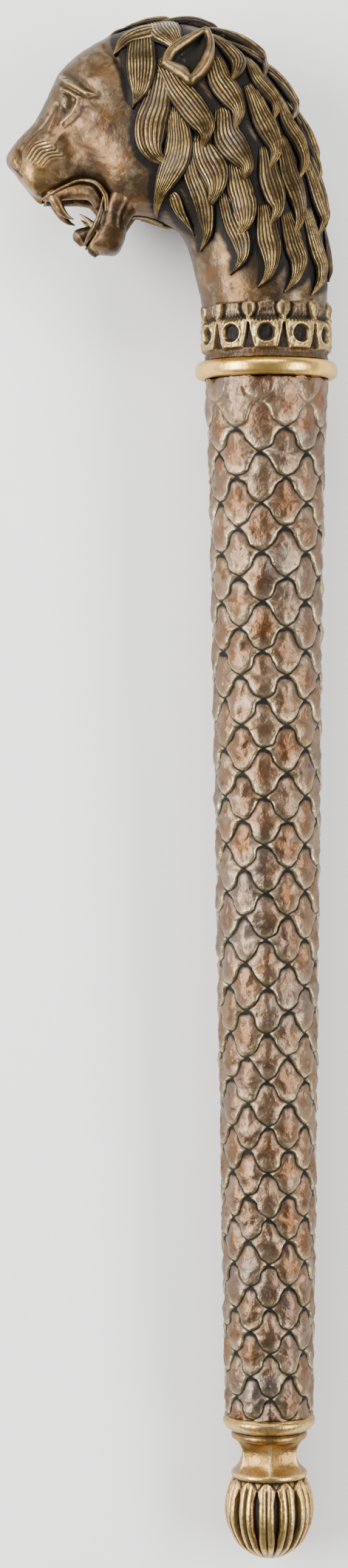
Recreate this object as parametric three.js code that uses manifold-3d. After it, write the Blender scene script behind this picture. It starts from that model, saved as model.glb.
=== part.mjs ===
// Ceremonial mace with a lion's head: head, collar, scaled shaft and lotus pommel, lying on its side.
// Millimetres, +Z up. The mace is drawn along +Y with the muzzle towards -X, then laid on the floor.
import * as THREE from 'three';
import { mergeVertices } from 'three/addons/utils/BufferGeometryUtils.js';
import Module from 'manifold-3d';

const wasm = await Module();
wasm.setup();

// Driving dimensions
const COLLAR_Y = 540;
const COLLAR_RADIUS = 32.5;
const COLLAR_HEIGHT = 8;
const SPIGOT_RADIUS = 25.8;
const SPIGOT_ROOT = 6;
const FIT_GAP = 0.3;
const SHAFT_FOOT_Y = 66.1;
const SHAFT_HEAD_Y = COLLAR_Y - COLLAR_HEIGHT / 2 - FIT_GAP;
const SHAFT_RADIUS_FOOT = 20.6;
const SHAFT_RADIUS_HEAD = 27.0;
const SHAFT_FLARE = 1.2;
const SHAFT_FLARE_LENGTH = 26;
const SCALE_COLUMNS = 7;
const SCALE_ROWS = 22;
const SCALE_PITCH_GROWTH = 1.115;
const SCALE_TWIST_FOOT = 1;
const SCALE_TWIST_HEAD = -8.6;
const SCALE_GROOVE_DEPTH = 1.4;
const BUD_RADIUS = 20.3;
const BUD_Y = 22.8;
const FLAT_DEPTH = 0.4;
const SLIVER = 0.5;
const MANE_SLIVER = 1.4;
const CROWN_UNITS = 11;
const BAND_RADIUS = 28.4;

// Helpers

// A radial point from a turn around the staff, measured from +Z towards +X.
function around(radius, turn, y) {
  return new THREE.Vector3(radius * Math.sin(turn), y, radius * Math.cos(turn));
}

// Six times the signed volume, which is negative when the faces point inwards.
function signedVolume(positions, faces) {
  const [a, b, c] = [new THREE.Vector3(), new THREE.Vector3(), new THREE.Vector3()];
  let volume = 0;
  for (let i = 0; i < faces.length; i += 3) {
    a.fromArray(positions, faces[i] * 3);
    b.fromArray(positions, faces[i + 1] * 3);
    c.fromArray(positions, faces[i + 2] * 3);
    volume += a.dot(b.cross(c));
  }
  return volume;
}

// A closed geometry from points and faces, turned outwards where it needs it.
function closedGeometry(points, faces) {
  const positions = points.flatMap((p) => [p.x, p.y, p.z]);
  if (signedVolume(positions, faces) < 0) {
    faces.reverse();
  }
  const geometry = new THREE.BufferGeometry();
  geometry.setAttribute('position', new THREE.Float32BufferAttribute(positions, 3));
  geometry.setIndex(faces);
  return geometry;
}

// The skin over a row of closed rings with equal point counts, closed to a point at each end.
function skin(rings, startPoint, endPoint) {
  const count = rings[0].length;
  const points = rings.flat();
  const start = points.push(startPoint) - 1;
  const end = points.push(endPoint) - 1;
  const last = (rings.length - 1) * count;
  const faces = [];
  for (let k = 0; k < count; k += 1) {
    const next = (k + 1) % count;
    for (let row = 0; row + 1 < rings.length; row += 1) {
      const here = row * count;
      const above = here + count;
      faces.push(here + k, here + next, above + k, here + next, above + next, above + k);
    }
    faces.push(start, next, k, end, last + k, last + next);
  }
  return closedGeometry(points, faces);
}

// The middle of a ring of points.
function middle(ring) {
  const sum = ring.reduce((total, p) => total.add(p), new THREE.Vector3());
  return sum.divideScalar(ring.length);
}

// A geometry as a solid that can be joined and cut.
function solid(geometry) {
  const bare = geometry.clone();
  bare.deleteAttribute('normal');
  bare.deleteAttribute('uv');
  const merged = mergeVertices(bare, 1e-3);
  return new wasm.Manifold(new wasm.Mesh({
    numProp: 3,
    vertProperties: new Float32Array(merged.attributes.position.array),
    triVerts: new Uint32Array(merged.index.array),
  }));
}

// A solid as a geometry.
function geometryOf(shape) {
  const mesh = shape.getMesh();
  const geometry = new THREE.BufferGeometry();
  geometry.setAttribute('position', new THREE.BufferAttribute(new Float32Array(mesh.vertProperties), 3));
  geometry.setIndex(new THREE.BufferAttribute(new Uint32Array(mesh.triVerts), 1));
  return geometry;
}

// All the shapes joined into the first.
function joined(shapes) {
  return shapes.reduce((whole, shape) => whole.add(shape));
}

// The shape without the slivers and the small sealed hollows that joining leaves.
function tidied(shape) {
  const clean = solid(geometryOf(shape.simplify(SLIVER)));
  return clean.decompose().reduce((largest, shell) => (shell.volume() > largest.volume() ? shell : largest));
}

// A turned solid from a profile of [radius, y] points that starts and ends on the axis.
function turned(profile, segments) {
  return solid(new THREE.LatheGeometry(profile.map(([r, y]) => new THREE.Vector2(r, y)), segments));
}

// An ellipsoid at a place, with its long axis turned in the side view.
function ellipsoid(centre, radii, turn, columns = 8, rows = 4) {
  const geometry = new THREE.SphereGeometry(1, columns, rows);
  geometry.scale(...radii).rotateZ(turn).translate(...centre);
  return solid(geometry);
}

// A round bar that follows points in space, with its radii given from end to end.
function taperedBar(points, radii, sides = 6) {
  const curve = new THREE.CatmullRomCurve3(points);
  const frames = curve.computeFrenetFrames(radii.length - 1, false);
  const rings = radii.map((radius, i) => {
    const centre = curve.getPoint(i / (radii.length - 1));
    return Array.from({ length: sides }, (_, k) => {
      const turn = (2 * Math.PI * k) / sides;
      return centre.clone()
        .addScaledVector(frames.normals[i], radius * Math.cos(turn))
        .addScaledVector(frames.binormals[i], radius * Math.sin(turn));
    });
  });
  return solid(skin(rings, curve.getPoint(0), curve.getPoint(1)));
}

// A copy of the shape on the other side of the staff.
function mirrored(shape) {
  return shape.mirror([0, 0, 1]);
}

// Head
// Sections from the neck to the nose. In side view each has its point on the crown, its point on the
// throat or upper lip, the half width, how square it is above and below, and how far the bridge narrows.
const HEAD_SECTIONS = [
  { crown: [27.5, 28], lip: [-29.0, 28], half: 28.2, above: 2, below: 2, bridge: 0 },
  { crown: [27.9, 39], lip: [-31.2, 39], half: 27.8, above: 2, below: 2, bridge: 0 },
  { crown: [25.5, 67.5], lip: [-39.3, 62.4], half: 28.3, above: 2, below: 2, bridge: 0 },
  { crown: [17.4, 104.4], lip: [-53.0, 68.1], half: 30.2, above: 2.1, below: 2.2, bridge: 0 },
  { crown: [-2.0, 136.9], lip: [-65.4, 70.1], half: 30.9, above: 2.2, below: 2.5, bridge: 0 },
  { crown: [-33.2, 155.4], lip: [-70.8, 73.8], half: 30.4, above: 2.2, below: 2.8, bridge: 0 },
  { crown: [-62.4, 153.7], lip: [-73.5, 78.9], half: 27.2, above: 2.2, below: 3, bridge: 0.05 },
  { crown: [-80.2, 145.7], lip: [-76.2, 83.2], half: 24.2, above: 2.4, below: 3.2, bridge: 0.15 },
  { crown: [-92.3, 135.6], lip: [-81.2, 85.6], half: 20.6, above: 2.6, below: 3.4, bridge: 0.25 },
  { crown: [-96.5, 128.5], lip: [-85.2, 85.6], half: 18.4, above: 2.6, below: 3.4, bridge: 0.3 },
  { crown: [-103.7, 113.8], lip: [-92.3, 82.6], half: 16.8, above: 2.8, below: 3.4, bridge: 0.4 },
  { crown: [-112.1, 104.4], lip: [-98.7, 77.9], half: 16.0, above: 2.6, below: 3, bridge: 0.4 },
  { crown: [-115.1, 100.7], lip: [-101.3, 75.8], half: 14.4, above: 2.4, below: 2.8, bridge: 0.35 },
  { crown: [-117.3, 95.6], lip: [-106.8, 82.0], half: 9.6, above: 2.2, below: 2.2, bridge: 0.2 },
  { crown: [-116.8, 93.0], lip: [-112.4, 88.6], half: 5.0, above: 2, below: 2, bridge: 0 },
];
const HEAD_SEGMENTS = 16;
const BRIDGE_SCALE = 50;
const FIRST_FINE_SECTION = 6;

// The lower jaw, from inside the cheek to the chin: its lip point, its underside point and half width.
const JAW_SECTIONS = [
  { lip: [-70.5, 84.2], under: [-58.0, 75.5], half: 15.5 },
  { lip: [-73.6, 74.5], under: [-63.2, 68.0], half: 17.0 },
  { lip: [-75.5, 66.4], under: [-63.8, 62.1], half: 15.6 },
  { lip: [-78.2, 61.4], under: [-64.8, 57.4], half: 13.2 },
  { lip: [-80.8, 57.1], under: [-67.1, 53.4], half: 9.8 },
  { lip: [-79.4, 54.2], under: [-71.2, 51.9], half: 5.6 },
];
const JAW_SEGMENTS = 12;

// The columns of the mane in side view, from the crown to the neck, with the height of each lock's tip.
const MANE_COLUMNS = [
  { path: [[-58.4, 154], [-61.4, 134.6], [-60.7, 120.8], [-57.4, 101], [-51.3, 77.5]],
    tips: [120.8, 98, 76] },
  { path: [[-50, 138], [-45.3, 114.4], [-44.6, 92.6], [-43.3, 70.8]], tips: [114, 92.6, 70.8] },
  { path: [[-42, 134.5], [-33.2, 114.4], [-29.2, 101], [-27.9, 74.2], [-30.5, 55.7]],
    tips: [102.7, 74.5, 55.7] },
  { path: [[-31, 155], [-20.5, 134.6], [-14.4, 111.1], [-11.7, 87.6], [-14.4, 60.1], [-16.1, 45.3]],
    tips: [131.9, 110.7, 86.6, 59.7, 45.6] },
  { path: [[-12.1, 147.3], [-3.7, 134.6], [2.3, 114.4], [2, 92.6], [0.7, 66.4], [-2.3, 40.3]],
    tips: [136.9, 115.1, 92.6, 66.4, 40.3] },
  { path: [[1.3, 134.6], [11.4, 116.1], [15.4, 89.3], [13.8, 63.4], [10.7, 37.9]],
    tips: [115.8, 88.6, 63.1, 37.9] },
  { path: [[11.4, 121.1], [23.2, 94.3], [25.5, 64.1], [23.2, 36.6]], tips: [108, 87.6, 63.4, 36.6] },
];
// The folds that carry the whiskers, round the cheek of the muzzle.
const WHISKER_FOLDS = [
  [[-107, 96], [-101, 100.6], [-91.6, 98.4]],
  [[-104.6, 90.4], [-99, 94.4], [-91.8, 92.4]],
];
const LOCK_LENGTH = 28;
const LOCK_WIDTH = 13;
const LOCK_RISE = 4.2;
const LOCK_CURL = 2.2;
// Along a lock from root to tip: place, share of the width, share of the rise.
const LOCK_STATIONS = [[0, 0.7, -0.1], [0.45, 1.05, 0.8], [0.84, 0.66, 1.05]];
const LOCK_SINK = 1.6;
const LOCK_ROUTE_STEPS = 5;
// The tips of the locks down the middle of the nape and of the throat, as places along the head.
const NAPE_TIPS = [0.393, 0.335, 0.284, 0.234, 0.186, 0.134, 0.071];
const NAPE_REACH = 0.062;
const THROAT_TIPS = [0.16, 0.08];
const THROAT_REACH = 0.1;
// The stretches of the head that hair covers and that the face takes up.
const HAIR_PLACES = [0, 0.62];
const FACE_PLACES = [0.45, 0.97];
const PLACE_STEP = 0.01;
const TURN_STEP = 0.1;
const TURN_LIMIT = 1.5;

// The smoothed lines of the head, each with one more size of the section as its third number.
function smoothLine(points) {
  return new THREE.CatmullRomCurve3(points, false, 'centripetal');
}

const crownCurve = smoothLine(HEAD_SECTIONS.map(({ crown: [x, y], half }) => new THREE.Vector3(x, y, half)));
const lipCurve = smoothLine(
  HEAD_SECTIONS.map(({ lip: [x, y], bridge }) => new THREE.Vector3(x, y, bridge * BRIDGE_SCALE)));

// The section of the head at a place from 0 at the neck to 1 at the nose.
function headSection(place) {
  const crown = crownCurve.getPoint(place);
  const lip = lipCurve.getPoint(place);
  const at = place * (HEAD_SECTIONS.length - 1);
  const before = Math.min(Math.floor(at), HEAD_SECTIONS.length - 2);
  const low = HEAD_SECTIONS[before];
  const high = HEAD_SECTIONS[before + 1];
  const share = at - before;
  return {
    crown,
    lip,
    half: crown.z,
    bridge: lip.z / BRIDGE_SCALE,
    above: THREE.MathUtils.lerp(low.above, high.above, share),
    below: THREE.MathUtils.lerp(low.below, high.below, share),
  };
}

// A point of the head's skin: a place along it, and a turn from the viewer's side towards the crown.
function headSkinPoint(place, turn) {
  const section = headSection(place);
  const sine = Math.sin(turn);
  const cosine = Math.cos(turn);
  const power = 2 / (sine > 0 ? section.above : section.below);
  const rise = Math.sign(sine) * Math.abs(sine) ** power;
  const side = Math.sign(cosine) * Math.abs(cosine) ** power;
  const narrowing = 1 - section.bridge * Math.max(0, rise);
  const across = new THREE.Vector2(section.crown.x - section.lip.x, section.crown.y - section.lip.y);
  return new THREE.Vector3(
    (section.crown.x + section.lip.x) / 2 + (across.x * rise) / 2,
    (section.crown.y + section.lip.y) / 2 + (across.y * rise) / 2,
    section.half * side * narrowing,
  );
}

// The outward direction of the head's skin.
function headSkinNormal(place, turn) {
  const step = 0.004;
  const ahead = headSkinPoint(Math.min(1, place + step), turn);
  const along = ahead.sub(headSkinPoint(Math.max(0, place - step), turn));
  const round = headSkinPoint(place, turn + 10 * step).sub(headSkinPoint(place, turn - 10 * step));
  return round.cross(along).normalize();
}

// The skin under the point that the side view shows at x, y, when hair of a given depth covers it.
function skinUnder(x, y, depth, [from, to] = HAIR_PLACES) {
  let best = { miss: Infinity };
  for (let place = from; place <= to; place += PLACE_STEP) {
    for (let turn = -TURN_LIMIT; turn <= TURN_LIMIT; turn += TURN_STEP) {
      const point = headSkinPoint(place, turn);
      const normal = headSkinNormal(place, turn);
      const miss = Math.hypot(point.x + normal.x * depth - x, point.y + normal.y * depth - y);
      if (miss < best.miss) {
        best = { miss, point, normal };
      }
    }
  }
  return best;
}

// One pointed lock of hair over a path of skin points, with its root let into the skin.
function hairLock(path, width) {
  const rings = LOCK_STATIONS.map(([place, breadth, rise]) => {
    const at = place * (path.length - 1);
    const i = Math.min(Math.floor(at), path.length - 2);
    const centre = path[i].point.clone().lerp(path[i + 1].point, at - i);
    const up = path[i].normal.clone().lerp(path[i + 1].normal, at - i).normalize();
    const along = path[i + 1].point.clone().sub(path[i].point).normalize();
    const side = new THREE.Vector3().crossVectors(up, along).normalize();
    centre.addScaledVector(side, LOCK_CURL * Math.sin(2 * Math.PI * place));
    const half = (width * breadth) / 2;
    const offset = (sideways, upwards) => (
      centre.clone().addScaledVector(side, sideways).addScaledVector(up, upwards));
    return [offset(-half, -LOCK_SINK), offset(half * 0.1, LOCK_RISE * rise), offset(half, -LOCK_SINK)];
  });
  const last = path[path.length - 1];
  const tip = last.point.clone().addScaledVector(last.normal, LOCK_RISE * 0.5);
  return solid(skin(rings, middle(rings[0]), tip));
}

// The locks of one column, each ending at its own tip and starting a lock's length above it.
function columnLocks({ path, tips }) {
  const curve = new THREE.CatmullRomCurve3(path.map(([x, y]) => new THREE.Vector3(x, y, 0)));
  const samples = curve.getPoints(60);
  const lengths = samples.map((p, i) => (i ? p.distanceTo(samples[i - 1]) : 0));
  return tips.map((tipY) => {
    let end = samples.findIndex((p) => p.y <= tipY);
    end = end < 0 ? samples.length - 1 : end;
    let start = end;
    let run = 0;
    while (start > 0 && run < LOCK_LENGTH) {
      run += lengths[start];
      start -= 1;
    }
    const route = Array.from({ length: LOCK_ROUTE_STEPS + 1 }, (_, k) => {
      const p = samples[Math.round(start + ((end - start) * k) / LOCK_ROUTE_STEPS)];
      return skinUnder(p.x, p.y, LOCK_RISE * 0.7);
    });
    return hairLock(route, LOCK_WIDTH);
  });
}

// The locks down the middle of the crown and nape, or of the throat.
function middleLocks(tips, reach, turn) {
  return tips.map((tip) => {
    const route = Array.from({ length: LOCK_ROUTE_STEPS + 1 }, (_, k) => {
      const place = tip + reach * (1 - k / LOCK_ROUTE_STEPS);
      return { point: headSkinPoint(place, turn), normal: headSkinNormal(place, turn) };
    });
    return hairLock(route, LOCK_WIDTH);
  });
}

// The skin of the head, with a further section between each two from the forehead to the nose.
function headSkin() {
  const last = HEAD_SECTIONS.length - 1;
  const places = [];
  for (let i = 0; i <= last; i += i < FIRST_FINE_SECTION ? 1 : 0.5) {
    places.push(i / last);
  }
  const rings = places.map((place) => (
    Array.from({ length: HEAD_SEGMENTS }, (_, k) => headSkinPoint(place, (2 * Math.PI * k) / HEAD_SEGMENTS))
  ));
  return solid(skin(rings, middle(rings[0]), middle(rings[rings.length - 1])));
}

// The lower jaw, a short squarish bar that hangs open under the cheek.
function lowerJaw() {
  const squared = (value) => Math.sign(value) * Math.abs(value) ** 0.7;
  const rings = JAW_SECTIONS.map(({ lip, under, half }) => (
    Array.from({ length: JAW_SEGMENTS }, (_, k) => {
      const turn = (2 * Math.PI * k) / JAW_SEGMENTS;
      const rise = squared(Math.sin(turn));
      const side = squared(Math.cos(turn));
      return new THREE.Vector3(
        (lip[0] + under[0]) / 2 + ((lip[0] - under[0]) * rise) / 2,
        (lip[1] + under[1]) / 2 + ((lip[1] - under[1]) * rise) / 2,
        half * side,
      );
    })
  ));
  return solid(skin(rings, middle(rings[0]), middle(rings[rings.length - 1])));
}

// The face on the viewer's side: brow, eye, whisker folds, lip and teeth, raised from the skin.
function faceSide() {
  const at = (x, y, z) => new THREE.Vector3(x, y, z);
  const raised = (x, y, proud) => {
    const { point, normal } = skinUnder(x, y, proud, FACE_PLACES);
    return point.clone().addScaledVector(normal, proud);
  };
  const route = (places, proud) => places.map(([x, y]) => raised(x, y, proud));
  const eye = ellipsoid(raised(-91.4, 122.4, 0.2).toArray(), [2.8, 4.1, 2.6], -0.35);
  const brow = taperedBar(route([[-94.5, 130.5], [-90, 129.8], [-81.5, 125.4]], 0.6), [1.4, 2.6, 1.2]);
  const folds = WHISKER_FOLDS.map((fold) => taperedBar(route(fold, 0.1), [0.8, 2, 0.8], 4));
  const lip = taperedBar(
    [at(-101.8, 77.6, 12.5), at(-97, 80.6, 15.4), at(-90, 84, 16.6), at(-84, 86.2, 18), at(-77, 83.4, 20),
      at(-73, 77, 18.5)],
    [1.6, 1.9, 1.9, 1.9, 1.7, 1.5], 5);
  const canine = taperedBar(
    [at(-95.4, 82.5, 11.5), at(-93.2, 73.2, 11.3), at(-87.4, 67.9, 10)], [2.8, 2.2, 0.3], 5);
  const lowerCanine = taperedBar(
    [at(-73.5, 62, 11), at(-79, 66.6, 10.4), at(-83.4, 69.8, 9.4)], [2.2, 1.4, 0.3], 5);
  return [eye, brow, ...folds, lip, canine, lowerCanine];
}

// The ear: a cupped leaf that leans on the side of the head.
function ear() {
  const rim = new THREE.Shape();
  rim.moveTo(-48.8, 141);
  rim.quadraticCurveTo(-46, 150, -36.5, 154);
  rim.quadraticCurveTo(-31, 156.5, -26.8, 156.7);
  rim.quadraticCurveTo(-22, 148, -24, 140);
  rim.quadraticCurveTo(-27, 132, -34, 129.5);
  rim.quadraticCurveTo(-42, 131, -48.8, 141);
  const body = new THREE.ExtrudeGeometry(rim, { depth: 14, curveSegments: 2, bevelEnabled: false });
  const hollow = new THREE.SphereGeometry(1, 8, 4);
  hollow.scale(5.4, 10.4, 3.4).rotateZ(-0.55).translate(-35.2, 144, 14.6);
  const cup = solid(body).subtract(solid(hollow));
  const lean = new THREE.Matrix4().makeTranslation(0, 130, 17.6)
    .multiply(new THREE.Matrix4().makeRotationX(-0.34))
    .multiply(new THREE.Matrix4().makeTranslation(0, -130, 0));
  return cup.transform(lean.toArray());
}

// One eyelet of the crown: a round disc with a raised rim and a dished middle.
function dishedDisc() {
  const profile = [[0, -1.2], [4.7, -1.2], [4.1, 1], [0, -0.4]];
  return new THREE.LatheGeometry(profile.map(([r, y]) => new THREE.Vector2(r, y)), 6);
}

// The crown of eyelets and leaves at the foot of the neck.
function crownBand() {
  const base = turned([
    [0, FIT_GAP / 2], [SPIGOT_RADIUS, FIT_GAP / 2], [SPIGOT_RADIUS, COLLAR_HEIGHT / 2 + FIT_GAP],
    [28.2, COLLAR_HEIGHT / 2 + FIT_GAP], [29.2, 9.4], [BAND_RADIUS, 11], [BAND_RADIUS, 21.6],
    [27.9, 30], [0, 30],
  ], 2 * CROWN_UNITS);
  const rises = [];
  for (let i = 0; i < CROWN_UNITS; i += 1) {
    const turn = (2 * Math.PI * (i - 0.05)) / CROWN_UNITS;
    const between = turn + Math.PI / CROWN_UNITS;
    const eyelet = dishedDisc().rotateX(Math.PI / 2).translate(0, 16.4, BAND_RADIUS).rotateY(turn);
    const leaf = new THREE.OctahedronGeometry(1).scale(3.4, 4.8, 1.7).translate(0, 28, BAND_RADIUS - 0.3)
      .rotateY(between);
    rises.push(solid(eyelet), solid(leaf));
  }
  return joined([base, ...rises]);
}

// The skin of the head under its mane, with the edges that the locks cut across each other evened out.
function manedSkin() {
  const locks = MANE_COLUMNS.flatMap(columnLocks);
  return joined([
    headSkin(), ...locks, ...locks.map(mirrored),
    ...middleLocks(NAPE_TIPS, NAPE_REACH, Math.PI / 2),
    ...middleLocks(THROAT_TIPS, THROAT_REACH, -Math.PI / 2),
  ]).simplify(MANE_SLIVER);
}

// The head as one casting: the viewer's side and its mirror image on skin, jaw, tongue and crown.
function lionHead() {
  const side = [ear(), ...faceSide()];
  const tongue = taperedBar(
    [new THREE.Vector3(-68, 74, 0), new THREE.Vector3(-77, 68, 0), new THREE.Vector3(-83.5, 61.8, 0),
      new THREE.Vector3(-84, 58, 0)],
    [4, 5, 4.6, 2], 8);
  return joined([manedSkin(), lowerJaw(), tongue, crownBand(), ...side, ...side.map(mirrored)]);
}

// Collar

// A smooth ring that sits over the joint of neck and shaft.
function collarRing() {
  const half = COLLAR_HEIGHT / 2;
  const inner = SPIGOT_RADIUS + FIT_GAP;
  const profile = [[inner, -half], [30.4, -half], [COLLAR_RADIUS, -1.8], [COLLAR_RADIUS, 1.8], [30.4, half],
    [inner, half], [inner, -half]];
  return solid(new THREE.LatheGeometry(profile.map(([r, y]) => new THREE.Vector2(r, y)), 28));
}

// Shaft

// The radius over the scales: a long taper with a short flare under the collar.
function shaftRadius(y) {
  const share = (y - SHAFT_FOOT_Y) / (SHAFT_HEAD_Y - SHAFT_FOOT_Y);
  const flare = SHAFT_FLARE * Math.exp((y - SHAFT_HEAD_Y) / SHAFT_FLARE_LENGTH);
  return THREE.MathUtils.lerp(SHAFT_RADIUS_FOOT, SHAFT_RADIUS_HEAD, share) + flare;
}

// The height of a half row of scales; the rows grow a little towards the head.
function rowY(halfRow) {
  const share = halfRow / (2 * SCALE_ROWS);
  const grown = share + ((SCALE_PITCH_GROWTH - 1) / 2) * share * (share - 1);
  return THREE.MathUtils.lerp(SHAFT_FOOT_Y, SHAFT_HEAD_Y, grown);
}

// A point of the lattice of scales, where the column and the row may be fractions.
function latticePoint(halfColumn, halfRow, depth) {
  const y = rowY(halfRow);
  const share = halfRow / (2 * SCALE_ROWS);
  const twist = THREE.MathUtils.degToRad(THREE.MathUtils.lerp(SCALE_TWIST_FOOT, SCALE_TWIST_HEAD, share));
  return around(shaftRadius(y) - depth, (Math.PI * halfColumn) / SCALE_COLUMNS + twist, y);
}

// The outline of a scale, clockwise from its top, in half columns and half rows from its middle:
// a round lobe hangs between two shoulders, and the lobes of the two scales above press into its top.
const LOBE = [0.44, 0.74];
const SCALE_OUTLINE = [
  [0, 1], [1 - LOBE[0], 1 - LOBE[1]], [1, 0], [LOBE[0], -LOBE[1]],
  [0, -1], [-LOBE[0], -LOBE[1]], [-1, 0], [LOBE[0] - 1, 1 - LOBE[1]],
];

// The skin of the shaft: every scale is a low pyramid over its outline, cut off flat at the two ends.
function shaftSkin() {
  const points = [];
  const known = new Map();
  const vertex = (column, row, depth) => {
    const wrapped = (column + 4 * SCALE_COLUMNS) % (2 * SCALE_COLUMNS);
    const key = `${wrapped.toFixed(3)} ${row.toFixed(3)}`;
    if (!known.has(key)) {
      known.set(key, points.push(latticePoint(wrapped, row, depth)) - 1);
    }
    return known.get(key);
  };
  const faces = [];
  const lastRow = 2 * SCALE_ROWS;
  for (let row = 0; row <= lastRow; row += 1) {
    for (let column = row % 2; column < 2 * SCALE_COLUMNS; column += 2) {
      const outline = SCALE_OUTLINE.filter(([, v]) => row + v >= 0 && row + v <= lastRow);
      const centre = vertex(column, row, 0);
      const rim = outline.map(([u, v]) => vertex(column + u, row + v, SCALE_GROOVE_DEPTH));
      const whole = row > 0 && row < lastRow;
      for (let k = 0; k < rim.length; k += 1) {
        const next = (k + 1) % rim.length;
        if (whole || Math.abs(outline[next][0] - outline[k][0]) < 1) {
          faces.push(centre, rim[next], rim[k]);
        }
      }
    }
  }
  for (const row of [0, lastRow]) {
    const hub = points.push(new THREE.Vector3(0, rowY(row), 0)) - 1;
    for (let column = 0; column < 2 * SCALE_COLUMNS; column += 1) {
      const here = vertex(column, row, 0);
      const next = vertex(column + 1, row, 0);
      faces.push(...(row ? [hub, here, next] : [hub, next, here]));
    }
  }
  return closedGeometry(points, faces);
}

// The shaft with the spigot that holds the collar.
function shaft() {
  const root = SHAFT_HEAD_Y - SPIGOT_ROOT;
  const end = COLLAR_Y - FIT_GAP / 2;
  const spigot = turned([[0, root], [SPIGOT_RADIUS, root], [SPIGOT_RADIUS, end], [0, end]], 28);
  return solid(shaftSkin()).add(spigot);
}

// Pommel
const POMMEL_TOP_Y = SHAFT_FOOT_Y - FIT_GAP;
const LIP_PROFILE = [[0, 52], [16.6, 53.6], [18.2, 56], [20.4, 58.6], [21.2, 61.4], [20.6, POMMEL_TOP_Y],
  [0, POMMEL_TOP_Y]];
// Height, arris radius and how hollow the six faces are.
const WAIST_ROWS = [[34, 14, 0], [37.2, 17.4, 0], [39.4, 17.2, 0], [42, 15.2, 0.6], [46, 13.4, 1],
  [49.7, 12.8, 1], [52.4, 14.2, 0.8], [54.4, 17.4, 0.3]];
const WAIST_HOLLOW = 0.2;
const PETALS = 12;
const PETAL_TURN = THREE.MathUtils.degToRad(-5.4);
// The depth of the bud's three points for each petal: two ribs, then the cut to the next petal.
const PETAL_CUTS = [0, 0, 2.2];
// Height, radius and how deep the cuts between the petals are.
const BUD_ROWS = [[37.4, 16, 0], [31, 19, 0.5], [BUD_Y, BUD_RADIUS, 1], [16, 19.4, 1],
  [10, 16.2, 0.8], [4.6, 11, 0.5], [1.4, 6, 0.2]];

// The pommel as one casting: lip mouldings, a waist with six hollow faces, and the lotus bud.
function pommel() {
  const lip = turned(LIP_PROFILE, 20);
  const waistRings = WAIST_ROWS.map(([y, radius, hollow]) => (
    Array.from({ length: 12 }, (_, k) => {
      const facet = k % 2 ? 1 - WAIST_HOLLOW * hollow : 1;
      return around(radius * facet, (Math.PI * k) / 6, y);
    })
  ));
  const waist = solid(skin(waistRings, middle(waistRings[0]), middle(waistRings[waistRings.length - 1])));
  const budRings = BUD_ROWS.map(([y, radius, depth]) => (
    Array.from({ length: 3 * PETALS }, (_, k) => (
      around(radius - PETAL_CUTS[k % 3] * depth, PETAL_TURN + (2 * Math.PI * (k - 0.5)) / (3 * PETALS), y)
    ))
  ));
  const bud = solid(skin(budRings, middle(budRings[0]), new THREE.Vector3(0, 0, 0)));
  return joined([waist, lip, bud]);
}

// The whole mace, laid down so that collar, bud and mane touch the floor, each with a small flat.
const tilt = Math.asin((COLLAR_RADIUS - BUD_RADIUS) / (COLLAR_Y - BUD_Y));
const axisHeight = BUD_RADIUS - FLAT_DEPTH - BUD_Y * Math.sin(tilt);
const lying = new THREE.Matrix4().makeRotationX(tilt).setPosition(0, 0, axisHeight);
const floor = solid(new THREE.BoxGeometry(400, 1000, 60).translate(0, 350, -30));

// One named piece of the mace at its place along the staff, with the floor cut away from under it.
function piece(name, shape, y, colour, roughness) {
  const place = lying.clone().multiply(new THREE.Matrix4().makeTranslation(0, y, 0));
  const underneath = floor.transform(place.clone().invert().toArray());
  const geometry = geometryOf(tidied(shape.subtract(underneath)));
  const material = new THREE.MeshStandardMaterial({ color: colour, roughness, metalness: 0.9 });
  const mesh = new THREE.Mesh(geometry, material);
  mesh.name = name;
  mesh.position.y = y;
  return mesh;
}

const mace = new THREE.Group();
mace.rotation.x = tilt;
mace.position.z = axisHeight;
mace.add(
  piece('lion_head', lionHead(), COLLAR_Y, 0x8a6f4d, 0.5),
  piece('collar_ring', collarRing(), COLLAR_Y, 0xd8c48c, 0.3),
  piece('shaft', shaft(), 0, 0x9d8268, 0.5),
  piece('pommel', pommel(), 0, 0xb08a52, 0.45),
);

const group = new THREE.Group();
group.add(mace);
const box = new THREE.Box3().setFromObject(group, true);
const centre = box.getCenter(new THREE.Vector3());
group.position.set(-centre.x, -centre.y, -box.min.z);

export default group;
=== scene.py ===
"""The looks of a ceremonial mace with a lion's head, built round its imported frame.

Sizes are millimetres in the mace's own axes: Y runs up the staff from the tip of the bud, X points towards
the nape and Z towards the viewer. Lying turns them into frame metres. Chased lines and locks of hair are
placed by pixels of the photograph, which PhotoCamera turns into places on the metal under them.
"""
import logging
import math
from collections.abc import Callable, Mapping, Sequence
from dataclasses import dataclass, field
from enum import Enum
from functools import cached_property

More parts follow.
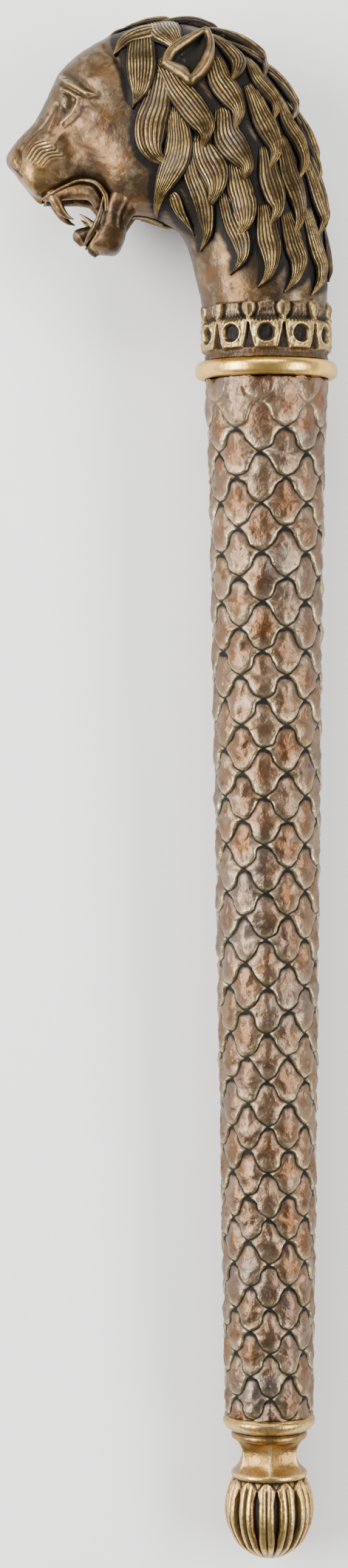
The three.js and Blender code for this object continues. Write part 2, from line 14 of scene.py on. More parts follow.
import bmesh
import bpy
import numpy as np
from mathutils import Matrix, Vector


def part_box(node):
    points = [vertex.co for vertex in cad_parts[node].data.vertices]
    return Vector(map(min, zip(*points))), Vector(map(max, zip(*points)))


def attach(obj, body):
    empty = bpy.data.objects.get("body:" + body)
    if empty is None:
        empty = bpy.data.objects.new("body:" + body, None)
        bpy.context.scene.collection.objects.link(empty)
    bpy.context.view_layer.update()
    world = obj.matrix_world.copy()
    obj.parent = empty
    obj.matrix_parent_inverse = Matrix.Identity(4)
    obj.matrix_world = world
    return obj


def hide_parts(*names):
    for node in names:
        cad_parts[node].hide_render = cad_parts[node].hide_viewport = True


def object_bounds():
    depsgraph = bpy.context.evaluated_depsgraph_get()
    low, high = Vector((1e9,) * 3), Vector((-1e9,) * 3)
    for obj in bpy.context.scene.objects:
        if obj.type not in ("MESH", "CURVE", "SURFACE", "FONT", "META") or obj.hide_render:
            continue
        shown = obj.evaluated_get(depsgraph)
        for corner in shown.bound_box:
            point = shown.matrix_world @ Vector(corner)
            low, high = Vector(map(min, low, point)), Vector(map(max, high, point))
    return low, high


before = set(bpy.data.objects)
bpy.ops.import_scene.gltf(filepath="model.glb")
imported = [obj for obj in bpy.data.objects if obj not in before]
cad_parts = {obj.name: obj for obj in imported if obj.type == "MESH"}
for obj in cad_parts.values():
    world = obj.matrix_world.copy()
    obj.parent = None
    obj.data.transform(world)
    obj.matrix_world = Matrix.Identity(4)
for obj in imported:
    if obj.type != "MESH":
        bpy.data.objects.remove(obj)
CAD_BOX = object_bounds()

Array = np.ndarray
Pixel = tuple[float, float]
LOG = logging.getLogger("mace")
MM = 0.001
BODY = "root"

PIXEL = 0.3356
COLLAR_Y = 540.0
COLLAR_RADIUS = 32.5
BUD_RADIUS = 20.3
BUD_Y = 22.8
FLAT_DEPTH = 0.4
SHAFT_FOOT_Y = 66.1
SHAFT_HEAD_Y = 535.7


class Slot(Enum):
    """The record's material slots."""

    HEAD = "head_bronze"
    COLLAR = "collar_brass"
    SHAFT = "shaft_bronze"
    POMMEL = "pommel_brass"


@dataclass(frozen=True)
class Lying:
    """How the mace lies in the frame: tilted a little, because collar and bud both touch the floor."""

    tilt: float
    shift: tuple[float, float, float]

    @classmethod
    def from_frame(cls) -> "Lying":
        """Reads the place of the staff from the collar's box, which is centred on it."""
        low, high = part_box("collar_ring")
        middle = (low + high) / (2 * MM)
        tilt = math.asin((COLLAR_RADIUS - BUD_RADIUS) / (COLLAR_Y - BUD_Y))
        foot = middle.y - COLLAR_Y * math.cos(tilt)
        height = BUD_RADIUS - FLAT_DEPTH - BUD_Y * math.sin(tilt)
        return cls(tilt, (middle.x, foot, height))

    def metres(self, points: Array) -> Array:
        """Lays points down.

        Args:
            points: Points of the mace in millimetres, in the last axis of the array.

        Returns:
            The same points in the frame, in metres, none of them below the floor.
        """
        x, y, z = np.moveaxis(points, -1, 0)
        cosine, sine = math.cos(self.tilt), math.sin(self.tilt)
        laid = np.stack((x, y * cosine - z * sine, y * sine + z * cosine), axis=-1) + self.shift
        laid[..., 2] = np.maximum(laid[..., 2], 0)
        return laid * MM


@dataclass(frozen=True)
class PhotoCamera:
    """The camera of the photograph, straight above the middle of the mace."""

    width: int = 471
    height: int = 2124
    lens: float = 80.8
    sensor: float = 36.0
    place: tuple[float, float, float] = (0.0, 0.003, 1.626)
    roll: float = -0.00324

    def project(self, points: Array) -> Array:
        """The photograph's pixels that show these points of the frame."""
        offset = points - np.array(self.place)
        cosine, sine = math.cos(self.roll), math.sin(self.roll)
        right = offset[..., 0] * cosine + offset[..., 1] * sine
        up = offset[..., 1] * cosine - offset[..., 0] * sine
        scale = self.lens / self.sensor * self.height / -offset[..., 2]
        return np.stack((self.width / 2 + scale * right, self.height / 2 - scale * up), axis=-1)

    def point_at(self, pixel: Pixel, depth: float, lying: Lying) -> Array:
        """The point of the mace that a pixel shows, when its Z in millimetres is known.

        Args:
            pixel: A pixel of the photograph.
            depth: The Z of the point in the mace's own axes.
            lying: How the mace lies.

        Returns:
            The point in millimetres.
        """
        guess = np.array((0.0, COLLAR_Y, depth))
        step = 1.0
        for _ in range(4):
            here = self.project(lying.metres(guess))
            across = self.project(lying.metres(guess + (step, 0, 0))) - here
            along = self.project(lying.metres(guess + (0, step, 0))) - here
            move = np.linalg.solve(np.column_stack((across, along)), np.array(pixel) - here)
            guess[:2] += move * step
        return guess

    def build(self) -> None:
        """Makes the camera and looks through it."""
        data = bpy.data.cameras.new("photo_camera")
        data.lens = self.lens
        data.sensor_width = self.sensor
        camera = bpy.data.objects.new("photo_camera", data)
        camera.location = self.place
        camera.rotation_euler = (0.0, 0.0, self.roll)
        bpy.context.scene.collection.objects.link(camera)
        bpy.context.scene.camera = camera


LYING = Lying.from_frame()
CAMERA = PhotoCamera()


def smooth_line(points: Sequence[Sequence[float]] | Array, places: Array) -> Array:
    """Samples a centripetal Catmull-Rom curve.

    Args:
        points: The points that the curve goes through.
        places: Places along it, from 0 to 1, with equal shares for the stretches between points.

    Returns:
        The points at those places.
    """
    through = np.asarray(points, float)
    padded = np.vstack((2 * through[0] - through[1], through, 2 * through[-1] - through[-2]))
    last = len(through) - 1
    at = np.clip(places, 0, 1) * last
    before = np.minimum(at.astype(int), last - 1)
    share = (at - before)[..., None]
    p0, p1, p2, p3 = (padded[before + k] for k in range(4))
    d0, d1, d2 = (
        np.maximum(np.linalg.norm(b - a, axis=-1, keepdims=True) ** 0.5, 1e-4)
        for a, b in ((p0, p1), (p1, p2), (p2, p3))
    )
    leave = ((p1 - p0) / d0 - (p2 - p0) / (d0 + d1) + (p2 - p1) / d1) * d1
    arrive = ((p2 - p1) / d1 - (p3 - p1) / (d1 + d2) + (p3 - p2) / d2) * d1
    square, cube = share**2, share**3
    return (
        (2 * cube - 3 * square + 1) * p1
        + (cube - 2 * square + share) * leave
        + (3 * square - 2 * cube) * p2
        + (cube - square) * arrive
    )


def smooth_step(value: Array, start: float, end: float) -> Array:
    """Runs softly from 0 at start to 1 at end."""
    share = np.clip((value - start) / (end - start), 0, 1)
    return share**2 * (3 - 2 * share)


def bell(value: Array, middle: float | Array, width: float) -> Array:
    """Runs from 1 at the middle softly to 0 on both sides."""
    return np.exp(-(((value - middle) / width) ** 2))


def signed_power(value: Array, power: float | Array) -> Array:
    """A power of the size of a value, with the sign of the value."""
    return np.sign(value) * np.abs(value) ** power


def whole_turn(count: int) -> Array:
    """Turns spread evenly once round."""
    return np.linspace(0, 2 * math.pi, count, endpoint=False)


def around(radius: Array, turn: Array, y: Array) -> Array:
    """Points round the staff, with the turn measured from the viewer's side towards the nape."""
    radius, turn, y = np.broadcast_arrays(radius, turn, y)
    return np.stack((radius * np.sin(turn), y, radius * np.cos(turn)), axis=-1)


def waviness(points: Array, size: float, seed: int) -> Array:
    """A soft irregular value between about -1 and 1 for each point, from a few waves in fixed directions.

    Args:
        points: Points in millimetres.
        size: The length of the longest wave.
        seed: Which set of directions to take.

    Returns:
        One value for each point.
    """
    chance = np.random.default_rng(seed)
    total = np.zeros(points.shape[:-1])
    for octave in range(5):
        direction = chance.normal(size=3)
        direction *= 2 * math.pi * 1.45**octave / (size * np.linalg.norm(direction))
        total += np.sin(points @ direction + chance.uniform(0, 2 * math.pi)) / 1.2**octave
    return total / 2.6


class Tone(Enum):
    """What a point of the metal looks like: patina and painted shade lie in a hollow, wear and a painted
    highlight lie on a ridge, and gold warms its colour.
    """

    HOLLOW = "hollow"
    RIDGE = "ridge"
    GOLD = "gold"


@dataclass
class Shell:
    """A closed skin: points in millimetres, faces, and for each tone one value for each point."""

    points: Array
    faces: list[tuple[int, ...]]
    tones: dict[Tone, Array] = field(default_factory=dict)

    @classmethod
    def from_grid(cls, grid: Array, tones: Mapping[Tone, Array] | None = None) -> "Shell":
        """Skins rows of closed rings, and closes each end to its middle.

        Args:
            grid: Points as rows of rings.
            tones: Values for the same rows and rings.

        Returns:
            The closed shell, with its faces outwards.
        """
        rows, count, _ = grid.shape
        number = np.arange(rows * count).reshape(rows, count)
        beside = np.roll(number, -1, axis=1)
        quads = np.stack((number[:-1], beside[:-1], beside[1:], number[1:]), axis=-1).reshape(-1, 4)
        start, end = rows * count, rows * count + 1
        fans = [(start, int(b), int(a)) for a, b in zip(number[0], beside[0])]
        fans += [(end, int(a), int(b)) for a, b in zip(number[-1], beside[-1])]
        points = np.vstack((grid.reshape(-1, 3), grid[0].mean(axis=0), grid[-1].mean(axis=0)))
        values = {
            tone: np.concatenate((value.ravel(), (value[0].mean(), value[-1].mean())))
            for tone, value in (tones or {}).items()
        }
        return cls(points, [tuple(quad) for quad in quads.tolist()] + fans, values).outwards()

    def outwards(self) -> "Shell":
        """The shell with its faces turned out, told by the sign of its volume."""
        triangles = [(face[0], face[i], face[i + 1]) for face in self.faces for i in range(1, len(face) - 1)]
        a, b, c = (self.points[np.array(triangles)[:, k]] for k in range(3))
        if np.einsum("ij,ij->i", a, np.cross(b, c)).sum() < 0:
            self.faces = [face[::-1] for face in self.faces]
        return self

    def mirrored(self) -> "Shell":
        """The same shell on the other side of the staff."""
        return Shell(self.points * (1, 1, -1), [face[::-1] for face in self.faces], dict(self.tones))

    @staticmethod
    def joined(shells: Sequence["Shell"]) -> "Shell":
        """Several shells as one mesh."""
        starts = np.cumsum([0] + [len(shell.points) for shell in shells])
        faces = [
            tuple(index + int(start) for index in face)
            for shell, start in zip(shells, starts)
            for face in shell.faces
        ]
        tones = {
            tone: np.concatenate([s.tones.get(tone, np.zeros(len(s.points))) for s in shells])
            for tone in Tone
        }
        return Shell(np.vstack([shell.points for shell in shells]), faces, tones)

    def mesh(self, name: str) -> bpy.types.Mesh:
        """A mesh in millimetres with the tones as attributes of its points."""
        made = bpy.data.meshes.new(name)
        made.from_pydata(self.points.tolist(), [], self.faces)
        for tone, value in self.tones.items():
            made.attributes.new(tone.value, "FLOAT", "POINT").data.foreach_set("value", value)
        return made


def add_node(
    tree: bpy.types.NodeTree,
    kind: str,
    settings: Mapping[str, object] | None = None,
    inputs: Mapping[int | str, object] | None = None,
) -> bpy.types.Node:
    """Adds one node with its settings and links.

    Args:
        tree: The tree that gets the node.
        kind: The node's type.
        settings: Its properties by name.
        inputs: Its inputs by name or number, each a plain value or the socket that feeds it.

    Returns:
        The new node.
    """
    node = tree.nodes.new(kind)
    for name, value in (settings or {}).items():
        setattr(node, name, value)
    for key, value in (inputs or {}).items():
        if isinstance(value, bpy.types.NodeSocket):
            tree.links.new(value, node.inputs[key])
        else:
            node.inputs[key].default_value = value
    return node


def add_math(tree: bpy.types.NodeTree, operation: str, *values: object) -> bpy.types.NodeSocket:
    """The result of one sum of two values or sockets."""
    return add_node(tree, "ShaderNodeMath", {"operation": operation}, dict(enumerate(values))).outputs[0]


def held_value(tree: bpy.types.NodeTree, name: str) -> bpy.types.NodeSocket:
    """A value that a geometry holds under a name."""
    settings = {"data_type": "FLOAT"}
    return add_node(tree, "GeometryNodeInputNamedAttribute", settings, {"Name": name}).outputs["Attribute"]


def store_value(
    tree: bpy.types.NodeTree, laid: object, name: str, value: object, domain: str = "POINT"
) -> bpy.types.NodeSocket:
    """The geometry with a value stored under a name."""
    inputs = {"Geometry": laid, "Name": name, "Value": value}
    settings = {"data_type": "FLOAT", "domain": domain}
    return add_node(tree, "GeometryNodeStoreNamedAttribute", settings, inputs).outputs[0]


def linear(colour: str) -> tuple[float, float, float, float]:
    """An sRGB hex colour as linear values."""
    parts = [int(colour[i : i + 2], 16) / 255 for i in (0, 2, 4)]
    red, green, blue = (p / 12.92 if p <= 0.04045 else ((p + 0.055) / 1.055) ** 2.4 for p in parts)
    return (red, green, blue, 1.0)


@dataclass(frozen=True)
class AgedMetal:
    """A copper alloy with a patina: mottled colours, patina and painted shade in its hollows, and wear and
    painted highlights on its ridges.
    """

    name: str
    base: str
    warm: str
    pale: str
    # Colour of the patina in the hollows, which also paints the shade there
    patina_and_shade: str
    # Colour of wear on the ridges, which also paints the highlights there
    wear_and_sheen: str
    roughness: float
    mottle: float
    grain: float
    warm_share: float = 0.5
    pale_share: float = 0.4
    dents: float = 0.12
    cloudy: str = "8d8a88"
    cloudy_share: float = 0.2
    pits: float = 0.0

    def blotches(
        self, tree: bpy.types.NodeTree, place: object, size: float, detail: float, seed: float
    ) -> object:
        """A noise pattern of a size in millimetres, as a socket from 0 to 1."""
        settings = {"noise_dimensions": "4D"}
        inputs = {"Vector": place, "Scale": 1 / (size * MM), "Detail": detail, "Roughness": 0.6, "W": seed}
        return add_node(tree, "ShaderNodeTexNoise", settings, inputs).outputs["Fac"]

    def spread(self, tree: bpy.types.NodeTree, value: object, low: float, high: float, top: float) -> object:
        """A value stretched from low and high to 0 and top."""
        inputs = {"Value": value, "From Min": low, "From Max": high, "To Max": top}
        return add_node(tree, "ShaderNodeMapRange", {}, inputs).outputs[0]

    def mixed(self, tree: bpy.types.NodeTree, share: object, under: object, over: str) -> object:
        """One colour laid over another."""
        inputs = {0: share, 6: under, 7: linear(over)}
        return add_node(tree, "ShaderNodeMix", {"data_type": "RGBA"}, inputs).outputs[2]

    def build(self) -> bpy.types.Material:
        """Makes the material."""
        material = bpy.data.materials.new(self.name)
        material.use_nodes = True
        tree = material.node_tree
        tree.nodes.clear()
        place = add_node(tree, "ShaderNodeTexCoord").outputs["Object"]
        hollow, ridge, gold = (
            add_node(tree, "ShaderNodeAttribute", {"attribute_name": tone.value}).outputs["Fac"]
            for tone in Tone
        )
        large = self.blotches(tree, place, self.mottle, 4.0, 0.0)
        small = self.blotches(tree, place, self.mottle * 0.45, 5.0, 3.0)
        cloud = self.blotches(tree, place, self.mottle * 1.7, 3.0, 7.0)
        grain = self.blotches(tree, place, self.grain, 3.0, 11.0)
        warmth = add_math(tree, "MAXIMUM", self.spread(tree, large, 0.44, 0.62, self.warm_share), gold)
        colour = self.mixed(tree, warmth, linear(self.base), self.warm)
        cloudiness = self.spread(tree, cloud, 0.52, 0.68, self.cloudy_share)
        colour = self.mixed(tree, cloudiness, colour, self.cloudy)
        colour = self.mixed(tree, self.spread(tree, small, 0.5, 0.66, self.pale_share), colour, self.pale)
        # Wear with painted highlights on the ridges, broken by the grain
        rough_ridge = add_math(tree, "MULTIPLY", ridge, self.spread(tree, grain, 0.25, 0.55, 1.0))
        colour = self.mixed(tree, rough_ridge, colour, self.wear_and_sheen)
        # Painted shade with patina in the hollows, plus patches and stains of grime
        patches = self.spread(tree, grain, 0.36, 0.7, 0.5)
        shade_and_soil = add_math(tree, "ADD", add_math(tree, "MULTIPLY", hollow, 1.15), patches)
        shade_and_soil = self.spread(tree, add_math(tree, "MULTIPLY", shade_and_soil, hollow), 0.05, 0.95, 1.0)
        stains = self.blotches(tree, place, self.mottle * 0.3, 6.0, 17.0)
        shade_and_soil = add_math(tree, "MAXIMUM", shade_and_soil, self.spread(tree, stains, 0.57, 0.72, self.pits))
        colour = self.mixed(tree, shade_and_soil, colour, self.patina_and_shade)
        rough = add_math(tree, "MULTIPLY_ADD", shade_and_soil, 0.22, self.roughness)
        rough = add_math(tree, "MULTIPLY_ADD", rough_ridge, -0.1, rough)
        rough = add_math(tree, "MULTIPLY_ADD", small, 0.16, rough)
        metallic = add_math(tree, "MULTIPLY_ADD", shade_and_soil, -0.35, 1.0)
        relief = add_math(tree, "MULTIPLY_ADD", small, 1.4, grain)
        bump = add_node(
            tree, "ShaderNodeBump", {}, {"Height": relief, "Distance": self.dents * MM * 3, "Strength": 0.6}
        ).outputs[0]
        inputs = {"Base Color": colour, "Metallic": metallic, "Roughness": rough, "Normal": bump}
        shader = add_node(tree, "ShaderNodeBsdfPrincipled", {}, inputs)
        add_node(tree, "ShaderNodeOutputMaterial", {}, {"Surface": shader.outputs[0]})
        return material


# Raised and planished sheet: broad brown and grey clouds over a soft shine
FACE_BRONZE = AgedMetal(
    name="bronze_raised_and_patinated", base="534332", warm="77522a", pale="9e8a6c", patina_and_shade="150f09",
    wear_and_sheen="d8ba7c", roughness=0.33, mottle=13.0, grain=2.2, dents=0.13, cloudy="282325",
    cloudy_share=0.85, pale_share=0.42, pits=0.7,
)
# Chased hair: painted gold highlights on the crests the punch left, painted near-black shade in the lines and
# between the locks
HAIR_BRONZE = AgedMetal(
    name="bronze_chased_with_a_liner", base="35281a", warm="4c3318", pale="524328", patina_and_shade="0a0603",
    wear_and_sheen="f0cb80", roughness=0.26, mottle=9.0, grain=1.4,
)
# Polished brass that hands keep clean: pale, with faint scratches
RING_BRASS = AgedMetal(
    name="brass_turned_and_polished", base="d4a444", warm="c28c34", pale="f2d284", patina_and_shade="4a3216",
    wear_and_sheen="dfbe74", roughness=0.27, mottle=11.0, grain=2.0, dents=0.06, cloudy="a39466", cloudy_share=0.5,
)
# Scales sunk with a punch: pinkish brown metal with orange hearts, painted cream highlights on the edges and
# painted shade in the grooves
SCALE_BRONZE = AgedMetal(
    name="bronze_punched_scales", base="735d49", warm="66452c", pale="a5907a", patina_and_shade="0e0b08",
    wear_and_sheen="dcca9e", roughness=0.32, mottle=18.0, grain=1.8, warm_share=0.7, dents=0.2, cloudy="5c5856",
    cloudy_share=0.6, pits=0.7,
)
# Cast brass wiped with wax: honey coloured, brown wax with painted shade in the hollows, painted highlights
# on the ribs and beads
POMMEL_BRASS = AgedMetal(
    name="brass_cast_and_wiped", base="94723f", warm="764f26", pale="b8965e", patina_and_shade="140d07",
    wear_and_sheen="f0d08a", roughness=0.28, mottle=8.0, grain=1.6, cloudy="64594e", cloudy_share=0.6, pits=0.5,
)


def finish_piece(
    mesh: bpy.types.Mesh, name: str, material: bpy.types.Material, node: str
) -> None:
    """Lays a mesh down, clips it to the box of the CAD and lets it stand for a CAD node.

    Args:
        mesh: The mesh in millimetres.
        name: The piece's name.
        material: Its finish.
        node: The CAD node that it replaces.
    """
    points = np.empty(len(mesh.vertices) * 3)
    mesh.vertices.foreach_get("co", points)
    lying = np.clip(LYING.metres(points.reshape(-1, 3)), *CAD_BOX)
    mesh.vertices.foreach_set("co", lying.ravel())
    mesh.polygons.foreach_set("use_smooth", [True] * len(mesh.polygons))
    mesh.materials.clear()
    mesh.materials.append(material)
    mesh.update()
    piece = bpy.data.objects.new(name, mesh)
    bpy.context.scene.collection.objects.link(piece)
    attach(piece, BODY)
    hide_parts(node)
    LOG.info("%s: %d faces", name, len(mesh.polygons))


def grown(mesh: bpy.types.Mesh, tree: bpy.types.NodeTree, inputs: Mapping[str, object]) -> bpy.types.Mesh:
    """Runs a Geometry Nodes tree on a mesh.

    Args:
        mesh: What the tree starts from.
        tree: The tree.
        inputs: Values for its named inputs.

    Returns:
        The result as a plain mesh.
    """
    holder = bpy.data.objects.new("growing", mesh)
    bpy.context.scene.collection.objects.link(holder)
    modifier = holder.modifiers.new("grow", "NODES")
    modifier.node_group = tree
    for item in tree.interface.items_tree:
        if item.item_type == "SOCKET" and item.name in inputs:
            modifier[item.identifier] = inputs[item.name]
    evaluated = holder.evaluated_get(bpy.context.evaluated_depsgraph_get())
    made = bpy.data.meshes.new_from_object(evaluated)
    holder.modifiers.remove(modifier)
    bpy.data.objects.remove(holder)
    return made


def new_tree(name: str, inputs: Mapping[str, str]) -> tuple[bpy.types.NodeTree, dict[str, object], object]:
    """An empty Geometry Nodes tree.

    Args:
        name: The tree's name.
        inputs: The socket type of each further input by its name.

    Returns:
        The tree, its input sockets by name, and the output node.
    """
    tree = bpy.data.node_groups.new(name, "GeometryNodeTree")
    tree.interface.new_socket("Geometry", in_out="INPUT", socket_type="NodeSocketGeometry")
    tree.interface.new_socket("Geometry", in_out="OUTPUT", socket_type="NodeSocketGeometry")
    for label, kind in inputs.items():
        tree.interface.new_socket(label, in_out="INPUT", socket_type=kind)
    entry = add_node(tree, "NodeGroupInput")
    sockets = {socket.name: socket for socket in entry.outputs if socket.name}
    return tree, sockets, add_node(tree, "NodeGroupOutput")


def repeat_round_tree(material: bpy.types.Material) -> bpy.types.NodeTree:
    """A tree that sets copies of one sector round the staff and welds them into a ring."""
    tree, given, end = new_tree("repeat_round_the_staff", {"Count": "NodeSocketInt"})
    index = add_node(tree, "GeometryNodeInputIndex").outputs[0]
    share = add_math(tree, "DIVIDE", index, given["Count"])
    turn = add_math(tree, "MULTIPLY", share, 2 * math.pi)
    rotation = add_node(tree, "ShaderNodeCombineXYZ", {}, {"Y": turn}).outputs[0]
    spots = add_node(tree, "GeometryNodePoints", {}, {"Count": given["Count"]}).outputs[0]
    inputs = {"Points": spots, "Instance": given["Geometry"], "Rotation": rotation}
    ring = add_node(tree, "GeometryNodeInstanceOnPoints", {}, inputs).outputs[0]
    ring = add_node(tree, "GeometryNodeRealizeInstances", {}, {"Geometry": ring}).outputs[0]
    ring = add_node(tree, "GeometryNodeMergeByDistance", {}, {"Geometry": ring, "Distance": 0.01}).outputs[0]
    dressed = add_node(tree, "GeometryNodeSetMaterial", {}, {"Geometry": ring, "Material": material})
    tree.links.new(dressed.outputs[0], end.inputs[0])
    return tree


def sector_mesh(name: str, grid: Array, tones: Mapping[Tone, Array], closed: bool) -> bpy.types.Mesh:
    """The mesh of one sector of a ring.

    Args:
        name: The mesh's name.
        grid: Points as rows by columns, with the columns round the staff.
        tones: Values for the same rows and columns.
        closed: Whether the last row joins the first, as round the section of a band.

    Returns:
        The open sector, which its copies close.
    """
    rows, count, _ = grid.shape
    number = np.arange(rows * count).reshape(rows, count)
    if closed:
        number = np.vstack((number, number[:1]))
    quads = np.stack((number[:-1, :-1], number[:-1, 1:], number[1:, 1:], number[1:, :-1]), axis=-1)
    values = {tone: value.ravel() for tone, value in tones.items()}
    return Shell(grid.reshape(-1, 3), [tuple(q) for q in quads.reshape(-1, 4).tolist()], values).mesh(name)


def weld_outwards(mesh: bpy.types.Mesh) -> None:
    """Closes what is open, merges doubled points and turns the faces out."""
    shape = bmesh.new()
    shape.from_mesh(mesh)
    bmesh.ops.remove_doubles(shape, verts=shape.verts, dist=0.002)
    bmesh.ops.holes_fill(shape, edges=[edge for edge in shape.edges if edge.is_boundary])
    bmesh.ops.recalc_face_normals(shape, faces=shape.faces)
    shape.to_mesh(mesh)
    shape.free()


@dataclass(frozen=True)
class HeadSection:
    """One section of the head: its crown and lip points in side view, and how it is shaped across."""

    crown: tuple[float, float]
    lip: tuple[float, float]
    half: float
    above: float = 2.0
    below: float = 2.0
    bridge: float = 0.0


@dataclass
class HeadForm:
    """The skin of the head before any chasing, as sections from the neck to the nose."""

    sections: tuple[HeadSection, ...] = (
        HeadSection((27.5, 28.0), (-29.0, 28.0), 28.2),
        HeadSection((27.9, 39.0), (-31.2, 39.0), 27.8),
        HeadSection((25.5, 67.5), (-39.3, 62.4), 28.3),
        HeadSection((17.4, 104.4), (-53.0, 68.1), 30.2, 2.1, 2.2),
        HeadSection((-2.0, 136.9), (-65.4, 70.1), 30.9, 2.2, 2.5),
        HeadSection((-33.2, 155.4), (-70.8, 73.8), 30.4, 2.2, 2.8),
        HeadSection((-62.4, 153.7), (-73.5, 77.6), 27.2, 2.2, 3.0, 0.05),
        HeadSection((-80.2, 145.7), (-76.2, 80.2), 24.2, 2.4, 3.2, 0.15),
        HeadSection((-92.3, 135.6), (-81.2, 82.2), 20.6, 2.6, 3.4, 0.25),
        HeadSection((-96.5, 128.5), (-85.2, 82.2), 18.4, 2.6, 3.4, 0.3),
        HeadSection((-103.7, 113.8), (-92.3, 80.0), 16.8, 2.8, 3.4, 0.4),
        HeadSection((-112.1, 104.4), (-98.7, 77.9), 16.0, 2.6, 3.0, 0.4),
        HeadSection((-115.1, 100.7), (-101.3, 75.8), 14.4, 2.4, 2.8, 0.35),
        HeadSection((-117.3, 95.6), (-106.8, 82.0), 9.6, 2.2, 2.2, 0.2),
        HeadSection((-116.8, 93.0), (-112.4, 88.6), 5.0),
    )
    bridge_scale: float = 50.0
    place_step: float = 0.004
    turn_step: float = 0.04

    @cached_property
    def lines(self) -> tuple[Array, Array, Array, Array]:
        """The crown line, the lip line and how square the sections are above and below."""
        crown = np.array([(*s.crown, s.half) for s in self.sections])
        lip = np.array([(*s.lip, s.bridge * self.bridge_scale) for s in self.sections])
        above, below = (np.array([getattr(s, name) for s in self.sections]) for name in ("above", "below"))
        return crown, lip, above, below

    def squareness(self, place: Array, rise: Array) -> Array:
        """How square the sections are at places: above their middle where the rise is over 0, else below."""
        at = place * (len(self.sections) - 1)
        number = np.arange(len(self.sections))
        _, _, above, below = self.lines
        return np.where(rise > 0, np.interp(at, number, above), np.interp(at, number, below))

    def points(self, place: Array, turn: Array) -> Array:
        """Points of the skin.

        Args:
            place: Places from 0 at the neck to 1 at the nose.
            turn: Turns from the viewer's side towards the crown.

        Returns:
            Points in millimetres, with Y measured from the foot of the staff.
        """
        place, turn = np.broadcast_arrays(np.clip(place, 0, 1), turn)
        crowns, lips, _, _ = self.lines
        crown, lip = smooth_line(crowns, place), smooth_line(lips, place)
        sine, cosine = np.sin(turn), np.cos(turn)
        power = 2 / self.squareness(place, sine)
        rise, side = signed_power(sine, power), signed_power(cosine, power)
        narrowing = 1 - lip[..., 2] / self.bridge_scale * np.maximum(0, rise)
        x, y = ((crown[..., k] + lip[..., k]) / 2 + (crown[..., k] - lip[..., k]) * rise / 2 for k in (0, 1))
        return np.stack((x, y + COLLAR_Y, crown[..., 2] * side * narrowing), axis=-1)

    def normals(self, place: Array, turn: Array) -> Array:
        """The outward directions of the skin at places and turns."""
        along = self.points(place + self.place_step, turn) - self.points(place - self.place_step, turn)
        round_ = self.points(place, turn + self.turn_step) - self.points(place, turn - self.turn_step)
        normal = np.cross(round_, along)
        return normal / np.linalg.norm(normal, axis=-1, keepdims=True)

    def even_turn(self, place: Array, angle: Array) -> Array:
        """The turn that lies in a direction from the middle, so that a section's points are spread evenly."""
        power = self.squareness(np.clip(place, 0, 1), np.sin(angle)) / 2
        return np.arctan2(signed_power(np.sin(angle), power), signed_power(np.cos(angle), power))

    @cached_property
    def survey(self) -> tuple[Array, Array, Array, Array]:
        """Places, turns, points and normals over the viewer's side of the hair."""
        place, turn = np.meshgrid(np.linspace(0, 0.66, 200), np.linspace(-1.5, 1.55, 180), indexing="ij")
        return place, turn, self.points(place, turn), self.normals(place, turn)

    def under_pixel(self, pixel: Pixel, depth: float) -> tuple[float, float]:
        """The place and turn of the skin that a pixel shows through hair of a given depth."""
        place, turn, points, normals = self.survey
        seen = CAMERA.project(LYING.metres(points + normals * depth))
        best = np.argmin(np.hypot(seen[..., 0] - pixel[0], seen[..., 1] - pixel[1]))
        return float(place.flat[best]), float(turn.flat[best])


@dataclass(frozen=True)
class Stroke:
    """A chased line, in pixels of the photograph: a groove, or a ridge where its height is above 0."""

    route: tuple[Pixel, ...]
    height: float
    width: float
    # A tone below 0 paints shade into the line, a tone above 0 paints a highlight on it
    tone: float = 0.0

    def near(self, seen: Array) -> Array:
        """How near each pixel is to the line, from 1 on it to 0 away from it."""
        line = smooth_line(self.route, np.linspace(0, 1, 6 * len(self.route)))
        best = np.full(seen.shape[:-1], np.inf)
        for a, b in zip(line[:-1], line[1:]):
            share = np.clip(((seen - a) @ (b - a)) / max((b - a) @ (b - a), 1e-9), 0, 1)
            best = np.minimum(best, np.linalg.norm(seen - a - share[..., None] * (b - a), axis=-1))
        return bell(best, 0, self.width)


@dataclass(frozen=True)
class Swell:
    """A soft round rise, or a hollow where its height is below 0, in pixels of the photograph."""

    centre: Pixel
    radii: tuple[float, float]
    height: float
    # A tone below 0 paints shade into the swell, a tone above 0 paints a highlight on it
    tone: float = 0.0
    power: float = 2.0

    def near(self, seen: Array) -> Array:
        """How near each pixel is to the middle, from 1 in it to 0 away from it."""
        across, down = ((seen[..., k] - self.centre[k]) / self.radii[k] for k in (0, 1))
        return np.exp(-(np.hypot(across, down) ** self.power))


def whisker_lines() -> list[Stroke]:
    """The six grooves of the whisker pad with painted shade, and the folds between them with painted
    highlights.
    """
    outer = ((35.5, 213.0), (46.0, 196.5), (60.0, 190.5))
    inner = ((57.0, 225.0), (68.5, 214.0), (87.0, 212.0))
    grooves = 6
    lines = []
    for half_step in range(2 * grooves - 1):
        share = half_step / (2 * grooves - 2)
        route = tuple(
            (a[0] + (b[0] - a[0]) * share, a[1] + (b[1] - a[1]) * share) for a, b in zip(outer, inner)
        )
        groove = half_step % 2 == 0
        lines.append(Stroke(route, -0.42 if groove else 0.25, 1.15, -0.85 if groove else 0.8))
    return lines


